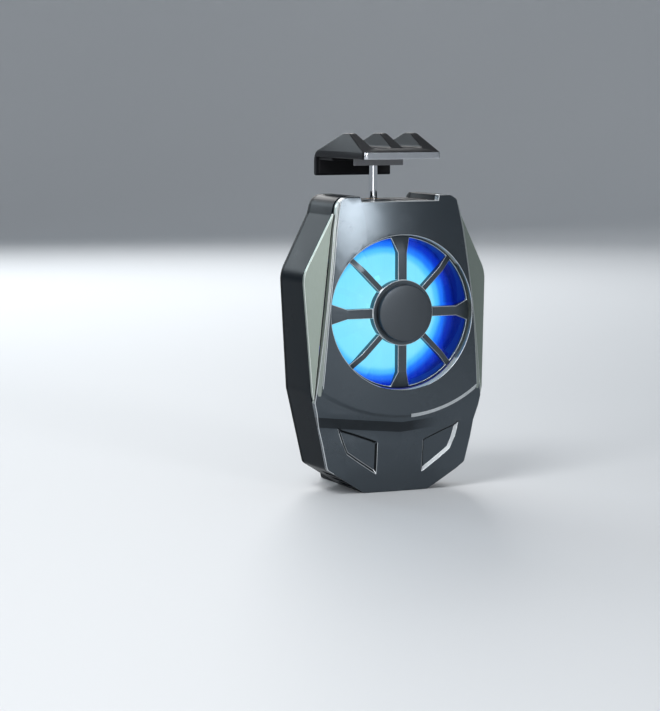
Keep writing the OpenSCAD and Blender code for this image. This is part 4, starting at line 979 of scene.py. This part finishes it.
@dataclass
class Studio:
    """Pale floor that curves up all round, soft lamps and the camera."""

    eye: Point = (-0.2636, -0.5810, 0.1014)
    heading: tuple[float, float] = (0.3996, 0.9167)
    pitch: float = 6.16
    lens: float = 126.4
    floor_r: float = 1.7
    wall_h: float = 1.6
    sweep: float = 0.7
    air: Colour = tone("#cfd6de")
    air_power: float = 0.4
    lamps: tuple[Softbox, ...] = (
        Softbox("front_box", (0.13, -0.82, 0.26), (0.16, 0.16), 1.7),
        Softbox("camera_box", (-0.30, -0.78, 0.21), (0.26, 0.40), 0.8),
        Softbox("left_box", (-0.78, -0.40, 0.32), (0.24, 0.36), 1.0),
        Softbox("key_box", (-0.42, -0.30, 0.72), (0.30, 0.30), 3.2),
        Softbox("shoulder_box", (-0.30, 0.80, 0.30), (0.30, 0.22), 1.7, (0.82, 0.93, 1.0)),
        Softbox("back_box", (0.14, 0.80, 0.44), (0.50, 0.34), 3.6),
    )

    def build(self) -> None:
        """Sets everything up."""
        self._floor()
        self._world()
        for lamp in self.lamps:
            lamp.build()
        self._camera()

    def _floor(self) -> None:
        """Lays the pale floor and curves its rim up to a wall."""
        bpy.ops.object.select_all(action="DESELECT")
        bpy.ops.mesh.primitive_cylinder_add(vertices=96, radius=self.floor_r, depth=self.wall_h,
                                            location=(0, 0, self.wall_h / 2))
        floor = bpy.context.object
        floor.name = "studio_floor"
        bpy.ops.object.transform_apply(location=True, rotation=True, scale=True)
        with Bench.edit(floor, "FACE") as mesh:
            Bench.pick_faces(floor, (-9, -9, self.wall_h - 0.01), (9, 9, 9))
            bpy.ops.mesh.delete(type="FACE")
            bpy.ops.mesh.select_mode(type="EDGE")
            bpy.ops.object.mode_set(mode="OBJECT")
            for edge in mesh.edges:
                edge.select = all(mesh.vertices[i].co.z < 0.001 for i in edge.vertices)
            bpy.ops.object.mode_set(mode="EDIT")
            bpy.ops.mesh.bevel(offset=self.sweep, segments=12, profile=0.5)
        Bench.smooth(floor, 60.0)
        graph = Graph("pale_floor")
        cloud = graph.noise(0.5, 3.0)
        base = graph.mix(cloud, tone("#d2d5d8"), tone("#dcdee0"))
        floor.data.materials.append(graph.finish(Base_Color=base, Roughness=0.6 + 0.06 * (cloud - 0.5)))

    def _world(self) -> None:
        """Fills the room with even light."""
        world = bpy.data.worlds.new("studio_air")
        world.use_nodes = True
        ground = world.node_tree.nodes["Background"]
        ground.inputs[0].default_value = self.air
        ground.inputs[1].default_value = self.air_power
        bpy.context.scene.world = world
        bpy.context.scene.view_settings.view_transform = "Standard"

    def _camera(self) -> None:
        """Points the camera at the cooler."""
        lens = bpy.data.cameras.new("view")
        lens.lens = self.lens
        lens.sensor_width = 36.0
        lens.clip_start = 0.01
        camera = bpy.data.objects.new("view", lens)
        level = math.cos(math.radians(self.pitch))
        down = -math.sin(math.radians(self.pitch))
        gaze = Vector((self.heading[0] * level, self.heading[1] * level, down))
        camera.location = self.eye
        camera.rotation_euler = gaze.to_track_quat("-Z", "Y").to_euler()
        bpy.context.scene.collection.objects.link(camera)
        bpy.context.scene.camera = camera


def main() -> None:
    """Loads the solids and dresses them."""
    logging.basicConfig(level=logging.INFO, format="%(name)s: %(message)s")
    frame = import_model()
    Studio().build()
    shop = Workshop(frame["nodes"], Palette())
    for group in (Casing(shop), Fan(shop), Jaws(shop), Inside(shop)):
        group.build()
    LOG.info("%d pieces made", len(shop.made))


if __name__ == "__main__":
    main()
